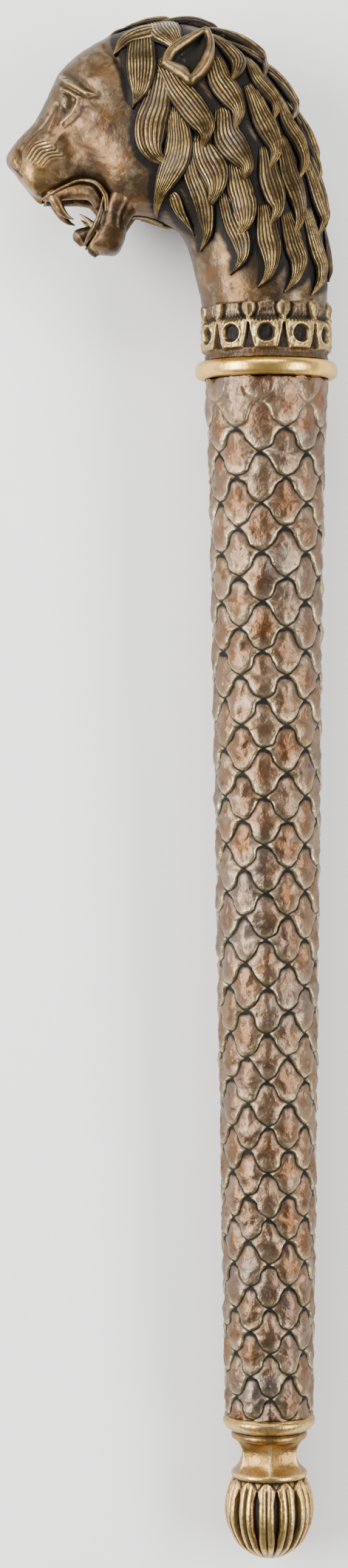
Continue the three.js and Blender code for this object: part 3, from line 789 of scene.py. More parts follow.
@dataclass
class LionFace:
    """The skin of the head with its brow, eye, muzzle and whisker pad raised and chased."""

    form: HeadForm
    rows: tuple[tuple[float, int], ...] = ((0.0, 36), (0.4, 84), (0.68, 116), (0.95, 14))
    columns: int = 300
    shade: Callable[[Array], Array] = field(default=lambda seen: np.zeros(seen.shape[:-1]))
    # Marks with a tone below 0 paint shade into their grooves and hollows, a mark with a tone and no height
    # paints shade alone, and a tone above 0 paints a highlight on a ridge
    marks: tuple[Stroke | Swell, ...] = (
        Swell((91, 137), (17, 20), -1.1, 0.0),
        Swell((86, 136), (5.4, 9.6), 1.7, 0.15, power=3.0),
        Swell((87.2, 139.2), (1.5, 1.9), -0.4, -0.75),
        Stroke(((86, 125), (91, 128), (93.5, 136), (92, 145), (87, 150), (82.5, 147)), -0.9, 1.6, -0.85),
        Stroke(((83, 121), (93, 124.5), (102, 131)), 0.9, 2.2, 0.3),
        Stroke(((84, 114), (97, 120), (106, 126.5)), -0.6, 2.2, -0.45),
        Stroke(((84, 106), (100, 116.5), (117, 126.5)), 1.3, 2.6, 0.6),
        Stroke(((120, 125.5), (128, 128.5)), 0.6, 2.2, 0.5),
        Stroke(((92, 100), (105, 107.5), (118, 118.5), (131, 126.5)), -1.1, 4.2, -0.6),
        Stroke(((102, 122.5), (110, 128), (118, 131), (130, 129)), -1.0, 2.0, -0.8),
        Swell((98.5, 135), (3.6, 4.6), -0.9, -0.5),
        Stroke(((105, 128), (104, 138), (100, 146), (96.5, 152.5), (88, 162), (83, 167)), 0.7, 2.4, 0.25),
        Stroke(((111, 134), (108, 148), (101, 160), (88, 170)), -0.4, 3.0, -0.3),
        Stroke(((82, 149), (80.5, 158), (78, 167)), -0.6, 1.8, -0.6),
        Stroke(((77, 140), (76, 154), (72.5, 166), (67.5, 177)), -0.6, 2.0, -0.6),
        Stroke(
            ((75, 140), (70, 153), (62.5, 166), (53, 176), (42, 187), (33, 198), (25.5, 210), (24.5, 220)),
            -0.6, 2.2, -0.55,
        ),
        Swell((48, 236), (28, 28), 1.3, 0.25),
        Swell((17.5, 216), (7, 9), 0.6, 0.2),
        Stroke(((24.5, 202), (27.5, 215), (25.5, 230)), -1.0, 2.2, -0.65),
        Stroke(((13, 226), (23, 232), (31, 239)), -0.8, 1.8, -0.85),
        Stroke(((98, 190), (107, 206), (118, 224), (127, 242)), -1.2, 13.0, -0.45),
        Swell((119, 214), (15, 24), -0.3, -0.6),
        Swell((128, 262), (13, 16), 0.0, -0.5),
        Swell((126, 160), (28, 24), 1.1, 0.0),
        Swell((112, 100), (20, 14), 0.6, 0.0),
        Stroke(
            ((141, 62), (155, 74), (165, 90), (172, 112), (175, 140), (177, 170), (184, 200), (193, 224),
             (198, 250), (202, 292)),
            -2.2, 6.0, -0.4,
        ),
    )
    gilt: tuple[Swell, ...] = (Swell((48, 226), (34, 30), 0, 0.85), Swell((18, 216), (8, 8), 0, 0.5))

    def shell(self) -> Shell:
        """Builds the skin with its relief."""
        ends = [start for start, _ in self.rows[1:]] + [1.0]
        places = np.concatenate([
            np.linspace(start, end, count, endpoint=False) for (start, count), end in zip(self.rows, ends)
        ] + [np.ones(1)])
        place, angle = np.meshgrid(places, whole_turn(self.columns), indexing="ij")
        turn = self.form.even_turn(place, angle)
        points, normals = self.form.points(place, turn), self.form.normals(place, turn)
        seen = CAMERA.project(LYING.metres(points * self.near_side(points)))
        height, hollow, ridge = (np.zeros(place.shape) for _ in range(3))
        for mark in (*self.marks, *whisker_lines()):
            near = mark.near(seen)
            height += mark.height * near
            hollow = np.maximum(hollow, -mark.tone * near)
            ridge = np.maximum(ridge, mark.tone * near)
        gold = np.max([mark.tone * mark.near(seen) for mark in self.gilt], axis=0)
        # Painted shade: a general darkening under the hair, the painted shade beside the locks and the dark
        # inside the mouth
        shade_under_hair = 0.35 * (1 - smooth_step(place, 0.4, 0.46)) * (1 - smooth_step(-np.sin(turn), 0.2, 0.9))
        fades = smooth_step(place, 0.38, 0.44) * (1 - smooth_step(place, 0.945, 0.985))
        in_mouth = smooth_step(-np.sin(turn), 0.86, 0.97) * smooth_step(place, 0.46, 0.52)
        in_mouth *= 1 - smooth_step(place, 0.86, 0.92)
        dents = np.minimum(0.2 * waviness(points, 14.0, 5), 0.05)
        height = height * fades * (1 - in_mouth) - 3.4 * in_mouth + dents - 0.1
        neck = 1 - smooth_step(points[..., 1], COLLAR_Y + 34, COLLAR_Y + 60)
        hollow = np.max((hollow * fades, shade_under_hair * (1 - neck), self.shade(seen)), axis=0)
        tones = {Tone.HOLLOW: np.maximum(hollow, 0.45 * in_mouth), Tone.RIDGE: ridge * fades, Tone.GOLD: gold}
        return Shell.from_grid(points + normals * height[..., None], tones)

    @staticmethod
    def near_side(points: Array) -> Array:
        """Factors that bring each point to the viewer's side, so that both sides get the same marks."""
        factors = np.ones(points.shape)
        factors[..., 2] = np.where(points[..., 2] < 0, -1.0, 1.0)
        return factors


def tapered_bar(
    points: Sequence[Sequence[float]], radii: Sequence[float], tone: float = 0.0, sides: int = 14,
    rows: int = 26,
) -> Shell:
    """A round bar that follows points in space.

    Args:
        points: The points that its middle goes through, with Y measured from the collar.
        radii: Radii spread evenly from end to end.
        tone: How much wear and painted highlight its outside gets, or how much painted shade with patina
            where it is below 0.
        sides: Points round it.
        rows: Rings along it.

    Returns:
        The closed bar.
    """
    places = np.linspace(0, 1, rows)
    middle = smooth_line(points, places) + (0, COLLAR_Y, 0)
    radius = np.interp(places, np.linspace(0, 1, len(radii)), radii)
    along = np.gradient(middle, axis=0)
    along /= np.linalg.norm(along, axis=1, keepdims=True)
    side = np.cross(along, (0.0, 0.0, 1.0))
    side /= np.linalg.norm(side, axis=1, keepdims=True)
    up = np.cross(side, along)
    turn = whole_turn(sides)
    grid = middle[:, None] + radius[:, None, None] * (
        np.cos(turn)[None, :, None] * side[:, None] + np.sin(turn)[None, :, None] * up[:, None]
    )
    wear_and_sheen = np.full(grid.shape[:-1], max(tone, 0.0))
    shaded_and_dirty = np.full(grid.shape[:-1], max(-tone, 0.0))
    return Shell.from_grid(grid, {Tone.RIDGE: wear_and_sheen, Tone.HOLLOW: shaded_and_dirty})


@dataclass(frozen=True)
class JawSection:
    """One section of the lower jaw: its lip and underside points in side view and its half width."""

    lip: tuple[float, float]
    under: tuple[float, float]
    half: float


@dataclass
class OpenMouth:
    """The lower jaw with its rim, the upper lips, the palate, four fangs and the tongue."""

    sections: tuple[JawSection, ...] = (
        JawSection((-64.0, 94.0), (-50.0, 88.0), 17.0),
        JawSection((-69.5, 84.2), (-57.0, 76.5), 20.5),
        JawSection((-73.6, 74.5), (-62.6, 68.0), 19.6),
        JawSection((-75.5, 66.4), (-63.4, 62.1), 16.8),
        JawSection((-78.2, 61.4), (-64.8, 57.4), 13.2),
        JawSection((-80.8, 57.1), (-67.1, 53.4), 9.8),
        JawSection((-79.4, 54.2), (-71.2, 51.9), 5.6),
    )
    rows: int = 56
    columns: int = 56
    squareness: float = 0.72

    def jaw(self) -> Shell:
        """The lower jaw, a short squarish bar that hangs open under the cheek."""
        places = np.linspace(0, 1, self.rows)
        lip, under = (
            smooth_line([getattr(s, name) for s in self.sections], places) for name in ("lip", "under")
        )
        half = smooth_line([(s.half,) for s in self.sections], places)[:, 0]
        turn = whole_turn(self.columns)
        rise, side = (signed_power(wave(turn), self.squareness) for wave in (np.sin, np.cos))
        middle, reach = (lip + under) / 2, (lip - under) / 2
        closing = np.sqrt(1 - smooth_step(places, 0.86, 1.04) ** 2)[:, None, None]
        flat = middle[:, None] + reach[:, None] * rise[None, :, None] * closing
        depth = (half[:, None] * side[None]) * closing[..., 0]
        grid = np.concatenate((flat, depth[..., None]), axis=-1) + (0, COLLAR_Y, 0)
        grid += 0.25 * waviness(grid, 9.0, 8)[..., None]
        # Painted shade on the jaw's upper side inside the mouth, and a painted highlight along its lip
        inside = np.broadcast_to(smooth_step(rise, 0.75, 0.95), depth.shape)
        edge = bell(rise, 0.72, 0.1)
        ridge = np.broadcast_to(edge, depth.shape) * smooth_step(places, 0.4, 0.6)[:, None]
        grid[..., 1] -= 1.8 * inside * smooth_step(places, 0.3, 0.5)[:, None]
        return Shell.from_grid(grid, {Tone.HOLLOW: 0.8 * inside, Tone.RIDGE: ridge * 0.5})

    def near_parts(self) -> list[Shell]:
        """What each side of the mouth has: the rims of the lips, half the palate, two fangs and a muscle."""
        # Tones above 0 paint highlights on the lips and fangs; the palate's tone below 0 paints shade inside
        # the mouth
        upper_lip = tapered_bar(
            [(-100.5, 76.6, 10.0), (-97, 78.4, 12.6), (-90, 81.8, 14.6), (-83.5, 84.0, 16.4),
             (-76.5, 82.6, 18.6), (-72.2, 77.0, 18.4), (-71.6, 70, 17.2)],
            [0.7, 0.8, 0.8, 0.8, 1.0, 1.2, 1.1], 0.04, rows=60)
        palate = tapered_bar(
            [(-100.4, 77.4, 7.4), (-96, 78.6, 9.2), (-90, 79.8, 10.6), (-84, 80.2, 12.0),
             (-78.2, 78.8, 13.6), (-74.4, 72.5, 13.6)],
            [1.6, 3.0, 3.8, 4.1, 4.0, 2.4], -0.22, sides=28, rows=40)
        jaw_rim = tapered_bar(
            [(-72.8, 77, 16.6), (-74.4, 70, 16.2), (-76.6, 64.5, 15.2), (-79.6, 59.8, 12.4),
             (-81.6, 56.6, 8.8)],
            [0.8, 1.2, 1.3, 1.1, 0.6], 0.06, rows=40)
        upper_fang = tapered_bar(
            [(-97, 80, 10.4), (-94.6, 75.6, 10.8), (-92.4, 71.8, 10.8), (-89.8, 69.0, 10.4),
             (-86.6, 67.4, 10)],
            [2.6, 2.5, 2.0, 1.2, 0.25], 0.08, rows=30)
        lower_fang = tapered_bar(
            [(-73.5, 62.5, 11), (-78.2, 65.0, 10.8), (-81.0, 67.6, 10.2), (-84.0, 69.9, 9.4)],
            [2.2, 1.7, 1.0, 0.25], 0.2)
        jaw_muscle = tapered_bar(
            [(-50, 92, 12.5), (-58, 83, 12.5), (-64.8, 74.5, 10.5), (-69, 66, 9)],
            [8.0, 8.0, 7.4, 6.0], sides=30)
        return [upper_lip, palate, jaw_rim, upper_fang, lower_fang, jaw_muscle]

    def shells(self) -> list[Shell]:
        """All parts of the mouth."""
        # The tongue's tone below 0 paints shade on it inside the mouth
        tongue = tapered_bar(
            [(-68, 70, 0), (-74, 65.4, 0), (-79.5, 61.8, 0), (-83.8, 59.9, 0), (-85.6, 58.0, 0)],
            [3.2, 3.6, 4.2, 4.8, 2.2], -0.2, sides=28, rows=34)
        parts = self.near_parts()
        return [self.jaw(), tongue, *parts, *(part.mirrored() for part in parts)]


@dataclass(frozen=True)
class Lock:
    """One lock of hair, with its spine in pixels of the photograph from root to tip."""

    spine: tuple[Pixel, ...]
    width: float
    rise: float = 4.2
    lines: int = 7


@dataclass
class LionMane:
    """The mane: pointed locks with chased lines, laid over each other from the brow to the neck."""

    form: HeadForm
    stations: int = 32
    samples_per_line: int = 4
    line_share: float = 1.2
    widening: float = 1.1
    root_reach: float = 0.12
    tip_reach: float = 0.3
    reach: float = 35.05
    sink: float = 1.6
    groove: float = 0.56
    path_scale: tuple[float, float] = (60.0, 14.0)
    difference_step: float = 0.002
    locks: tuple[Lock, ...] = (
        Lock(((188, 40), (188, 68), (189, 98), (187, 122), (179, 141)), 13.4, 3.6, 8),
        Lock(((214, 104), (208, 138), (202, 168), (203, 195), (212, 213), (229, 224)), 13.6, 4.6, 7),
        Lock(((238, 156), (241, 188), (238, 213), (226, 238), (217, 262), (214, 294)), 12.4, 3.8, 8),
        Lock(((234, 268), (244, 290), (257, 313)), 5.4, 2.2, 3),
        Lock(((224, 86), (241, 115), (261, 142), (277, 166), (279, 183), (274, 200)), 11.6, 4.8, 7),
        Lock(((276, 190), (280, 215), (290, 237), (292, 257), (279, 282)), 12.0, 4.4, 7),
        Lock(((255, 208), (262, 240), (272, 268), (278, 296), (279, 316), (270, 337)), 8.4, 3.6, 5),
        Lock(((296, 44), (311, 60), (323, 79), (323, 95), (312, 110)), 8.6, 4.4, 5),
        Lock(((292, 76), (299, 104), (313, 126), (324, 147), (319, 173)), 11.4, 4.4, 7),
        Lock(((306, 152), (310, 180), (323, 204), (334, 222), (328, 245)), 12.4, 4.6, 7),
        Lock(((320, 228), (325, 255), (332, 280), (332, 299), (319, 323)), 11.4, 4.4, 7),
        Lock(((305, 268), (314, 303), (325, 328), (328, 346), (313, 366)), 8.6, 3.6, 5),
        Lock(((344, 80), (355, 105), (369, 126), (377, 142), (371, 160)), 8.6, 4.2, 7),
        Lock(((346, 122), (356, 152), (367, 176), (374, 199), (366, 227)), 10.4, 4.4, 7),
        Lock(((365, 208), (369, 238), (375, 264), (377, 283), (367, 304)), 10.0, 4.2, 6),
        Lock(((361, 288), (364, 315), (367, 338), (367, 360), (352, 383)), 9.8, 3.8, 6),
        Lock(((370, 80), (383, 101), (394, 123), (400, 140), (397, 159)), 8.6, 4.0, 5),
        Lock(((387, 135), (397, 166), (408, 191), (414, 214), (409, 240)), 9.6, 4.2, 6),
        Lock(((389, 196), (396, 235), (405, 263), (409, 289), (402, 316)), 9.8, 4.2, 6),
        Lock(((394, 296), (402, 328), (406, 350), (404, 369), (391, 389)), 9.4, 3.6, 6),
        Lock(((408, 138), (420, 170), (430, 204), (436, 226), (433, 243)), 10.0, 4.0, 6),
        Lock(((421, 214), (429, 246), (436, 276), (440, 296), (437, 314)), 10.0, 4.0, 6),
        Lock(((425, 296), (433, 334), (438, 358), (437, 376), (428, 394)), 10.0, 3.6, 6),
        Lock(((324, 46), (340, 62), (353, 79), (358, 99)), 8.4, 3.8, 5),
        Lock(((211, 24), (221, 38), (231, 51), (242, 68)), 15.0, 2.6, 9),
        Lock(((224, 31), (198, 38), (174, 49), (157, 66)), 12.0, 2.6, 4),
    )
    nape_tips: tuple[float, ...] = (0.372, 0.325, 0.279, 0.232, 0.186, 0.134, 0.075)
    nape_reach: float = 0.085
    nape_rises: tuple[float, ...] = (3.6, 5.0, 6.6, 5.8, 5.0, 4.2, 2.6)
    throat_tips: tuple[float, ...] = (0.16,)
    throat_reach: float = 0.09

    def route(self, lock: Lock) -> Array:
        """The spine of a lock as places and turns of the skin, with its root under its neighbours."""
        spine = np.array(lock.spine, float)
        root = spine[0] - (spine[1] - spine[0]) * self.root_reach * (len(spine) - 1) * 0.8
        tip = spine[-1] + (spine[-1] - spine[-2]) * self.tip_reach
        pixels = np.vstack((root, spine[:-1], tip))
        return np.array([self.form.under_pixel(tuple(pixel), lock.rise * 0.7) for pixel in pixels])

    def shade(self, seen: Array) -> Array:
        """How much painted shade lies at pixels beside and between the locks."""
        outside = np.full(seen.shape[:-1], np.inf)
        samples = np.linspace(0, 1, 12)
        for lock in self.locks:
            line = smooth_line(lock.spine, samples)
            half = lock.width / 2 * self.widening / PIXEL * (1 - np.clip((samples - 0.5) / 0.5, 0, 1) ** 1.8)
            for point, reach in zip(line, half):
                outside = np.minimum(outside, np.linalg.norm(seen - point, axis=-1) - reach)
        return 0.95 * (1 - smooth_step(outside, 2.0, 13.0))

    def blade(self, route: Array, lock: Lock) -> Shell:
        """One lock over its route.

        Args:
            route: Places and turns of the skin from root to tip.
            lock: Its width, rise and number of lines.

        Returns:
            The closed lock, with its foot let into the skin.
        """
        along = np.linspace(0, 1, self.stations)
        path = smooth_line(route * self.path_scale, along) / self.path_scale
        place, turn = path[:, 0], path[:, 1]
        step = self.difference_step
        skin_at = self.form.points
        by_place = (skin_at(place + step, turn) - skin_at(place - step, turn)) / (2 * step)
        by_turn = (skin_at(place, turn + step) - skin_at(place, turn - step)) / (2 * step)
        heading = np.gradient(skin_at(place, turn), axis=0)
        side = np.cross(heading, self.form.normals(place, turn))
        side /= np.linalg.norm(side, axis=1, keepdims=True)
        shares = np.array([
            np.linalg.lstsq(np.column_stack((a, b)), s, rcond=None)[0]
            for a, b, s in zip(by_place, by_turn, side)
        ])
        narrowing = np.clip((along - 0.5) / 0.5, 0, 1) ** 1.5
        half = lock.width / 2 * self.widening * (0.62 + 0.38 * smooth_step(along, 0, 0.5))
        half = half * np.maximum(1 - narrowing, 0.02)
        lines = round(lock.lines * self.line_share)
        across = np.linspace(-1, 1, lines * self.samples_per_line + 1)
        spread = half[:, None] * across[None]
        skin = (place[:, None] + shares[:, :1] * spread, turn[:, None] + shares[:, 1:] * spread)
        base, up = self.form.points(*skin), self.form.normals(*skin)
        wave = 0.5 - 0.5 * np.cos(math.pi * lines * (across + 1))
        body = lock.rise * (0.1 + 0.9 * smooth_step(along, 0, 0.72)) * (1 - 0.7 * smooth_step(along, 0.82, 1))
        crown = 1 - 0.62 * np.abs(across) ** 3.2
        depth = self.groove * np.minimum(1, half / 2.5)
        height = body[:, None] * crown[None] - depth[:, None] * (1 - wave)[None] ** 1.5
        top = base + up * height[..., None]
        top[..., 2] = np.clip(top[..., 2], -self.reach, self.reach)
        foot = [base[:, edge] + up[:, edge] * -self.sink for edge in (-1, 0)]
        shoulder = [base[:, edge] + up[:, edge] * (0.35 * body)[:, None] for edge in (-1, 0)]
        grid = np.concatenate(
            (top, shoulder[0][:, None], foot[0][:, None], foot[1][:, None], shoulder[1][:, None]), axis=1)
        chance = np.random.default_rng(round(1000 * float(route[0, 0] + route[0, 1])) % 997)
        # Painted highlights along the crests of the chased lines, stronger on some lines and in patches
        strength = np.repeat(chance.uniform(0.12, 1.0, lines), self.samples_per_line)
        crest = np.repeat((wave**2.2 * np.append(strength, strength[-1]))[None], self.stations, axis=0)
        patches = 0.62 + 0.38 * np.clip(1.6 * waviness(base, 8.0, 21), -1, 1)
        lit = crest * patches * (1 - smooth_step(np.abs(across), 0.8, 0.97))[None]
        # Painted shade at the root under the neighbouring locks, along the lock's edges and in the chased
        # lines, where patina also lies
        shaded_root = (1 - smooth_step(along, 0.0, 0.16))[:, None] * np.ones(across.size)[None]
        edge = np.broadcast_to(smooth_step(np.abs(across), 0.78, 0.95), base.shape[:-1])
        line = np.repeat((1 - wave[None]) ** 1.6, self.stations, axis=0)
        dark = np.max((0.9 * line, 0.7 * shaded_root, 0.95 * edge), axis=0)
        wall = np.ones((self.stations, 4))
        # The walls and foot get painted shade, and the gold follows the painted highlights
        tones = {
            Tone.HOLLOW: np.hstack((dark, wall * (0.75, 1, 1, 0.75))),
            Tone.RIDGE: np.hstack((lit, wall * 0)),
            Tone.GOLD: np.hstack((0.5 * lit, wall * 0)),
        }
        return Shell.from_grid(grid, tones)

    def middle_locks(
        self, tips: Sequence[float], reach: float, turn: float, rises: Sequence[float]
    ) -> list[Shell]:
        """The locks down the middle of the nape or of the throat."""
        shells = []
        for number, (tip, rise) in enumerate(zip(tips, rises)):
            lock = Lock((), 13.0, rise, 7)
            sway = 0.05 * (-1) ** number
            route = np.array([
                (tip + reach * (1 - share), turn + sway * math.sin(2 * math.pi * share))
                for share in np.linspace(0, 1, 5)
            ])
            shells.append(self.blade(route, lock))
        return shells

    def shells(self) -> list[Shell]:
        """All locks of both sides, the middle and the forelock."""
        near = [self.blade(self.route(lock), lock) for lock in self.locks]
        nape = self.middle_locks(self.nape_tips, self.nape_reach, math.pi / 2, self.nape_rises)
        throat = self.middle_locks(self.throat_tips, self.throat_reach, -math.pi / 2, (1.2,))
        forelock_route = np.array([(place, math.pi / 2) for place in (0.37, 0.4, 0.43, 0.462)])
        forelock = self.blade(forelock_route, Lock((), 17.0, 1.6, 6))
        return [*near, *(shell.mirrored() for shell in near), *nape, *throat, forelock]


@dataclass
class LionEars:
    """The ears: cupped leaves with a rolled rim round a deep hollow."""

    rim: tuple[Pixel, ...] = (
        (217, 86), (221, 70), (231, 57), (247, 47), (264, 40), (281, 34), (288, 44), (291, 58), (290, 73),
        (285, 87), (276, 99), (266, 107), (258, 113), (243, 103), (228, 93), (217, 86),
    )
    hollow: tuple[Pixel, ...] = (
        (233, 80), (238, 71), (246, 64), (256, 57), (267, 49), (277, 43.5), (279.5, 52), (278, 62), (274, 73),
        (268, 83), (262, 92), (257, 98), (255, 91), (250, 86), (242, 83), (233, 80),
    )
    samples: int = 96
    guessed_depth: float = 26.0
    foot_depth: float = 33.0
    foot_y: float = 130.0
    lean: float = 0.28
    # Each ring from the middle of the hollow out past the rim: its share of the way, its height, its painted
    # shade and its painted highlight; the hollow is painted near black as shade
    profile: tuple[tuple[float, float, float, float], ...] = (
        (-0.97, -4.4, 1.0, 0.0), (-0.6, -4.4, 1.0, 0.0), (-0.25, -4.2, 1.0, 0.0), (-0.08, -3.2, 1.0, 0.0),
        (0.0, -1.6, 0.75, 0.0), (0.1, -0.5, 0.2, 0.4), (0.3, 0.3, 0.1, 0.15), (0.55, 0.55, 0.1, 0.0),
        (0.78, 0.1, 0.1, 0.2), (0.92, -1.0, 0.3, 0.25), (1.0, -2.6, 0.6, 0.0), (1.02, -7.0, 0.9, 0.0),
        (0.99, -14.0, 1.0, 0.0),
    )

    def outline(self, pixels: Sequence[Pixel]) -> Array:
        """A closed outline on the leaning plane of the ear."""
        places = np.linspace(0, 1, self.samples, endpoint=False)
        line = []
        for pixel in smooth_line(pixels, places):
            point = CAMERA.point_at(tuple(pixel), self.guessed_depth, LYING)
            depth = self.foot_depth - self.lean * (point[1] - COLLAR_Y - self.foot_y)
            line.append(CAMERA.point_at(tuple(pixel), depth, LYING))
        return np.array(line)

    def shell(self) -> Shell:
        """The ear on the viewer's side."""
        outer, inner = self.outline(self.rim), self.outline(self.hollow)
        middle = inner.mean(axis=0)
        rings, hollow, ridge = [], [], []
        for share, height, dark, bright in self.profile:
            ring = inner + (outer - inner) * share if share >= 0 else inner + (inner - middle) * share
            rings.append(ring + (0, 0.33 * height, height))
            hollow.append(np.full(self.samples, dark))
            ridge.append(np.full(self.samples, bright))
        return Shell.from_grid(np.array(rings), {Tone.HOLLOW: np.array(hollow), Tone.RIDGE: np.array(ridge)})

    def shells(self) -> list[Shell]:
        """Both ears."""
        ear = self.shell()
        return [ear, ear.mirrored()]


@dataclass
class LeafCrown:
    """The band at the foot of the neck: eyelets in a toothed plate, with almond leaves between them."""

    units: int = 11
    turn_share: float = -0.05
    radius: float = 28.3
    inner_radius: float = 25.9
    foot: float = 4.35
    top: float = 32.0
    eyelet_y: float = 14.9
    eyelet_radius: float = 3.85
    plate_foot: float = 8.2
    plate_top: float = 20.6
    tooth: float = 1.7
    leaf_y: float = 26.2
    leaf_size: tuple[float, float] = (3.7, 5.2)
    columns: int = 44
    rows: int = 66

    def relief(self, x: Array, y: Array) -> tuple[Array, Array, Array]:
        """The relief of one unit.

        Args:
            x: Distance round the band from the middle of the eyelet, in millimetres.
            y: Height above the middle of the collar.

        Returns:
            How far the metal stands out, how hollow it is and how worn.
        """
        half = math.pi * self.radius / self.units
        from_gap = half - np.abs(x)
        teeth = self.tooth * 0.5 * (1 - np.abs(2 * ((x / self.tooth) % 1) - 1) * 2) * 0.8
        plate_edge = self.plate_top + teeth + 1.2 * bell(from_gap, 0, 2.2)
        plate = smooth_step(y, self.plate_foot - 0.6, self.plate_foot + 0.6) * (
            1 - smooth_step(y, plate_edge - 0.35, plate_edge + 0.35))
        gap_half = np.interp(y, (8.0, 11.0, 15.5, 19.4), (3.1, 2.1, 1.0, 0.45))
        gap = 1 - smooth_step(from_gap, gap_half - 0.4, gap_half + 0.4)
        gap *= smooth_step(y, 7.6, 8.8) * (1 - smooth_step(y, 18.8, 19.8))
        from_eyelet = np.hypot(x, y - self.eyelet_y)
        hole = 1 - smooth_step(from_eyelet, self.eyelet_radius - 0.5, self.eyelet_radius + 0.25)
        rim = bell(from_eyelet - self.eyelet_radius, 0.75, 0.55)
        across, up = from_gap / self.leaf_size[0], (y - self.leaf_y) / self.leaf_size[1]
        almond = across + 0.25 * across**2 + np.abs(up) ** 2.1
        leaf = np.clip(1 - almond, 0, 1)
        leaf_on = smooth_step(1 - almond, -0.05, 0.12)
        moat = bell(almond, 1.32, 0.28) * smooth_step(y, 20.0, 22.5) * (1 - smooth_step(up, 0.35, 0.9))
        above_teeth = bell(y - plate_edge, 1.4, 1.5) * (1 - leaf_on)
        fillet = bell(y, 6.2, 1.6)
        below = 1 - smooth_step(y, 7.2, 9.4)
        plain = plate * (1 - gap) * (1 - hole)
        edge = bell(from_gap - gap_half, 0.6, 0.5) * plain
        height = 1.15 * plate * (1 - gap) - 0.9 * gap - 2.0 * hole + 0.4 * rim * plain
        height += leaf_on * (0.35 + 1.2 * leaf) - 1.1 * moat - 0.8 * above_teeth - 0.4 * fillet
        # Painted shade in the gaps, the eyelet holes, the moats round the leaves, above the teeth and along
        # the foot; painted highlights with wear on the plates, eyelet rims, gap edges and leaves
        shadow = 0.9 * above_teeth * (1 - leaf_on)
        hollow = np.max((0.8 * gap, hole * 0.85, moat, shadow, 0.6 * fillet, 0.5 * below), axis=0)
        ridge = np.max((0.42 * plain, 0.95 * rim * plain, 0.7 * edge, leaf_on * 0.45 * (1 - leaf)), axis=0)
        return height, hollow, ridge

    def mesh(self, material: bpy.types.Material) -> bpy.types.Mesh:
        """The band, grown from one unit with Geometry Nodes."""
        half_turn = math.pi / self.units
        turn = np.linspace(-half_turn, half_turn, self.columns)
        y = np.linspace(self.foot, self.top, self.rows)
        x_grid, y_grid = np.meshgrid(turn * self.radius, y)
        height, hollow, ridge = self.relief(x_grid, y_grid)
        fade = 1 - smooth_step(y_grid, 30.8, 31.8)
        shrink = np.interp(y_grid, (self.foot, 8.0, 24.0, 28.0, 32.0), (0.1, 0.25, 0.1, -0.15, 1.6))
        hand_work = waviness(around(self.radius, turn[None], y_grid), 6.0, 12)
        height += 0.3 * hand_work * (1 - (turn / half_turn) ** 4)
        radius = self.radius + height * fade - shrink
        spin = turn + 2 * half_turn * self.turn_share
        outer = around(radius, spin[None], y_grid + COLLAR_Y)
        rows_back = np.array([self.top, self.foot])
        inner = around(self.inner_radius, spin[None], rows_back[:, None] + COLLAR_Y)
        none = np.zeros((2, self.columns))
        # The gold follows the painted highlights
        tones = {
            Tone.HOLLOW: np.vstack((hollow, none)), Tone.RIDGE: np.vstack((ridge, none)),
            Tone.GOLD: np.vstack((ridge * 0.6, none)),
        }
        sector = sector_mesh("crown_unit", np.vstack((outer, inner)), tones, closed=True)
        made = grown(sector, repeat_round_tree(material), {"Count": self.units})
        weld_outwards(made)
        return made


@dataclass
class LionHead:
    """The head as one casting, in four pieces by finish and fineness."""

    form: HeadForm = field(default_factory=HeadForm)

    def build(self) -> None:
        """Builds and dresses the face, the mane, the ears and the crown."""
        face, hair = FACE_BRONZE.build(), HAIR_BRONZE.build()
        mane = LionMane(self.form)
        skin = Shell.joined([LionFace(self.form, shade=mane.shade).shell(), *OpenMouth().shells()])
        parts = {
            "lion_face": (skin.mesh("lion_face"), face),
            "lion_mane": (Shell.joined(mane.shells()).mesh("lion_mane"), hair),
            "lion_ears": (Shell.joined(LionEars().shells()).mesh("lion_ears"), face),
            "leaf_crown": (LeafCrown().mesh(face), face),
        }
        for name, (mesh, material) in parts.items():
            finish_piece(mesh, name, material, "lion_head")


@dataclass
class CollarRing:
    """The smooth ring over the joint of neck and shaft."""

    columns: int = 200
    profile_points: int = 44
    profile: tuple[tuple[float, float], ...] = (
        (26.1, -3.6), (29.6, -3.9), (31.2, -3.3), (32.2, -1.6), (32.4, 0.2), (31.9, 2.2), (30.6, 3.6),
        (28.6, 3.95), (26.1, 3.7),
    )

    def build(self) -> None:
        """Builds and dresses the ring."""
        rounded = smooth_line(self.profile, np.linspace(0, 1, self.profile_points))
        turn = whole_turn(self.columns)
        grid = around(rounded[None, :, 0], turn[:, None], rounded[None, :, 1] + COLLAR_Y)
        dent = 0.12 * waviness(grid, 13.0, 3)
        wear_and_sheen = np.clip((np.hypot(grid[..., 0], grid[..., 2]) - 31.0) / 1.5, 0, 1)
        radial = grid * (1, 0, 1) / np.linalg.norm(grid * (1, 0, 1), axis=-1, keepdims=True)
        grid += radial * (np.minimum(dent, 0) * wear_and_sheen)[..., None]
        count = len(rounded)
        number = np.arange(self.columns * count).reshape(self.columns, count)
        beside, above = np.roll(number, -1, axis=0), np.roll(number, -1, axis=1)
        diagonal = np.roll(beside, -1, axis=1)
        quads = np.stack((number, beside, diagonal, above), axis=-1).reshape(-1, 4)
        # Painted shade on the inner edges where the ring meets the neck and the shaft, and wear with a
        # painted highlight on its outermost band
        edge = np.clip(1 - (np.hypot(grid[..., 0], grid[..., 2]) - 27.5) / 2.0, 0, 1)
        tones = {Tone.HOLLOW: 0.8 * edge.ravel(), Tone.RIDGE: wear_and_sheen.ravel() * 0.8, Tone.GOLD: wear_and_sheen.ravel() * 0}
        shell = Shell(grid.reshape(-1, 3), [tuple(q) for q in quads.tolist()], tones).outwards()
        name = "collar_ring_polished"
        finish_piece(shell.mesh(name), name, RING_BRASS.build(), "collar_ring")


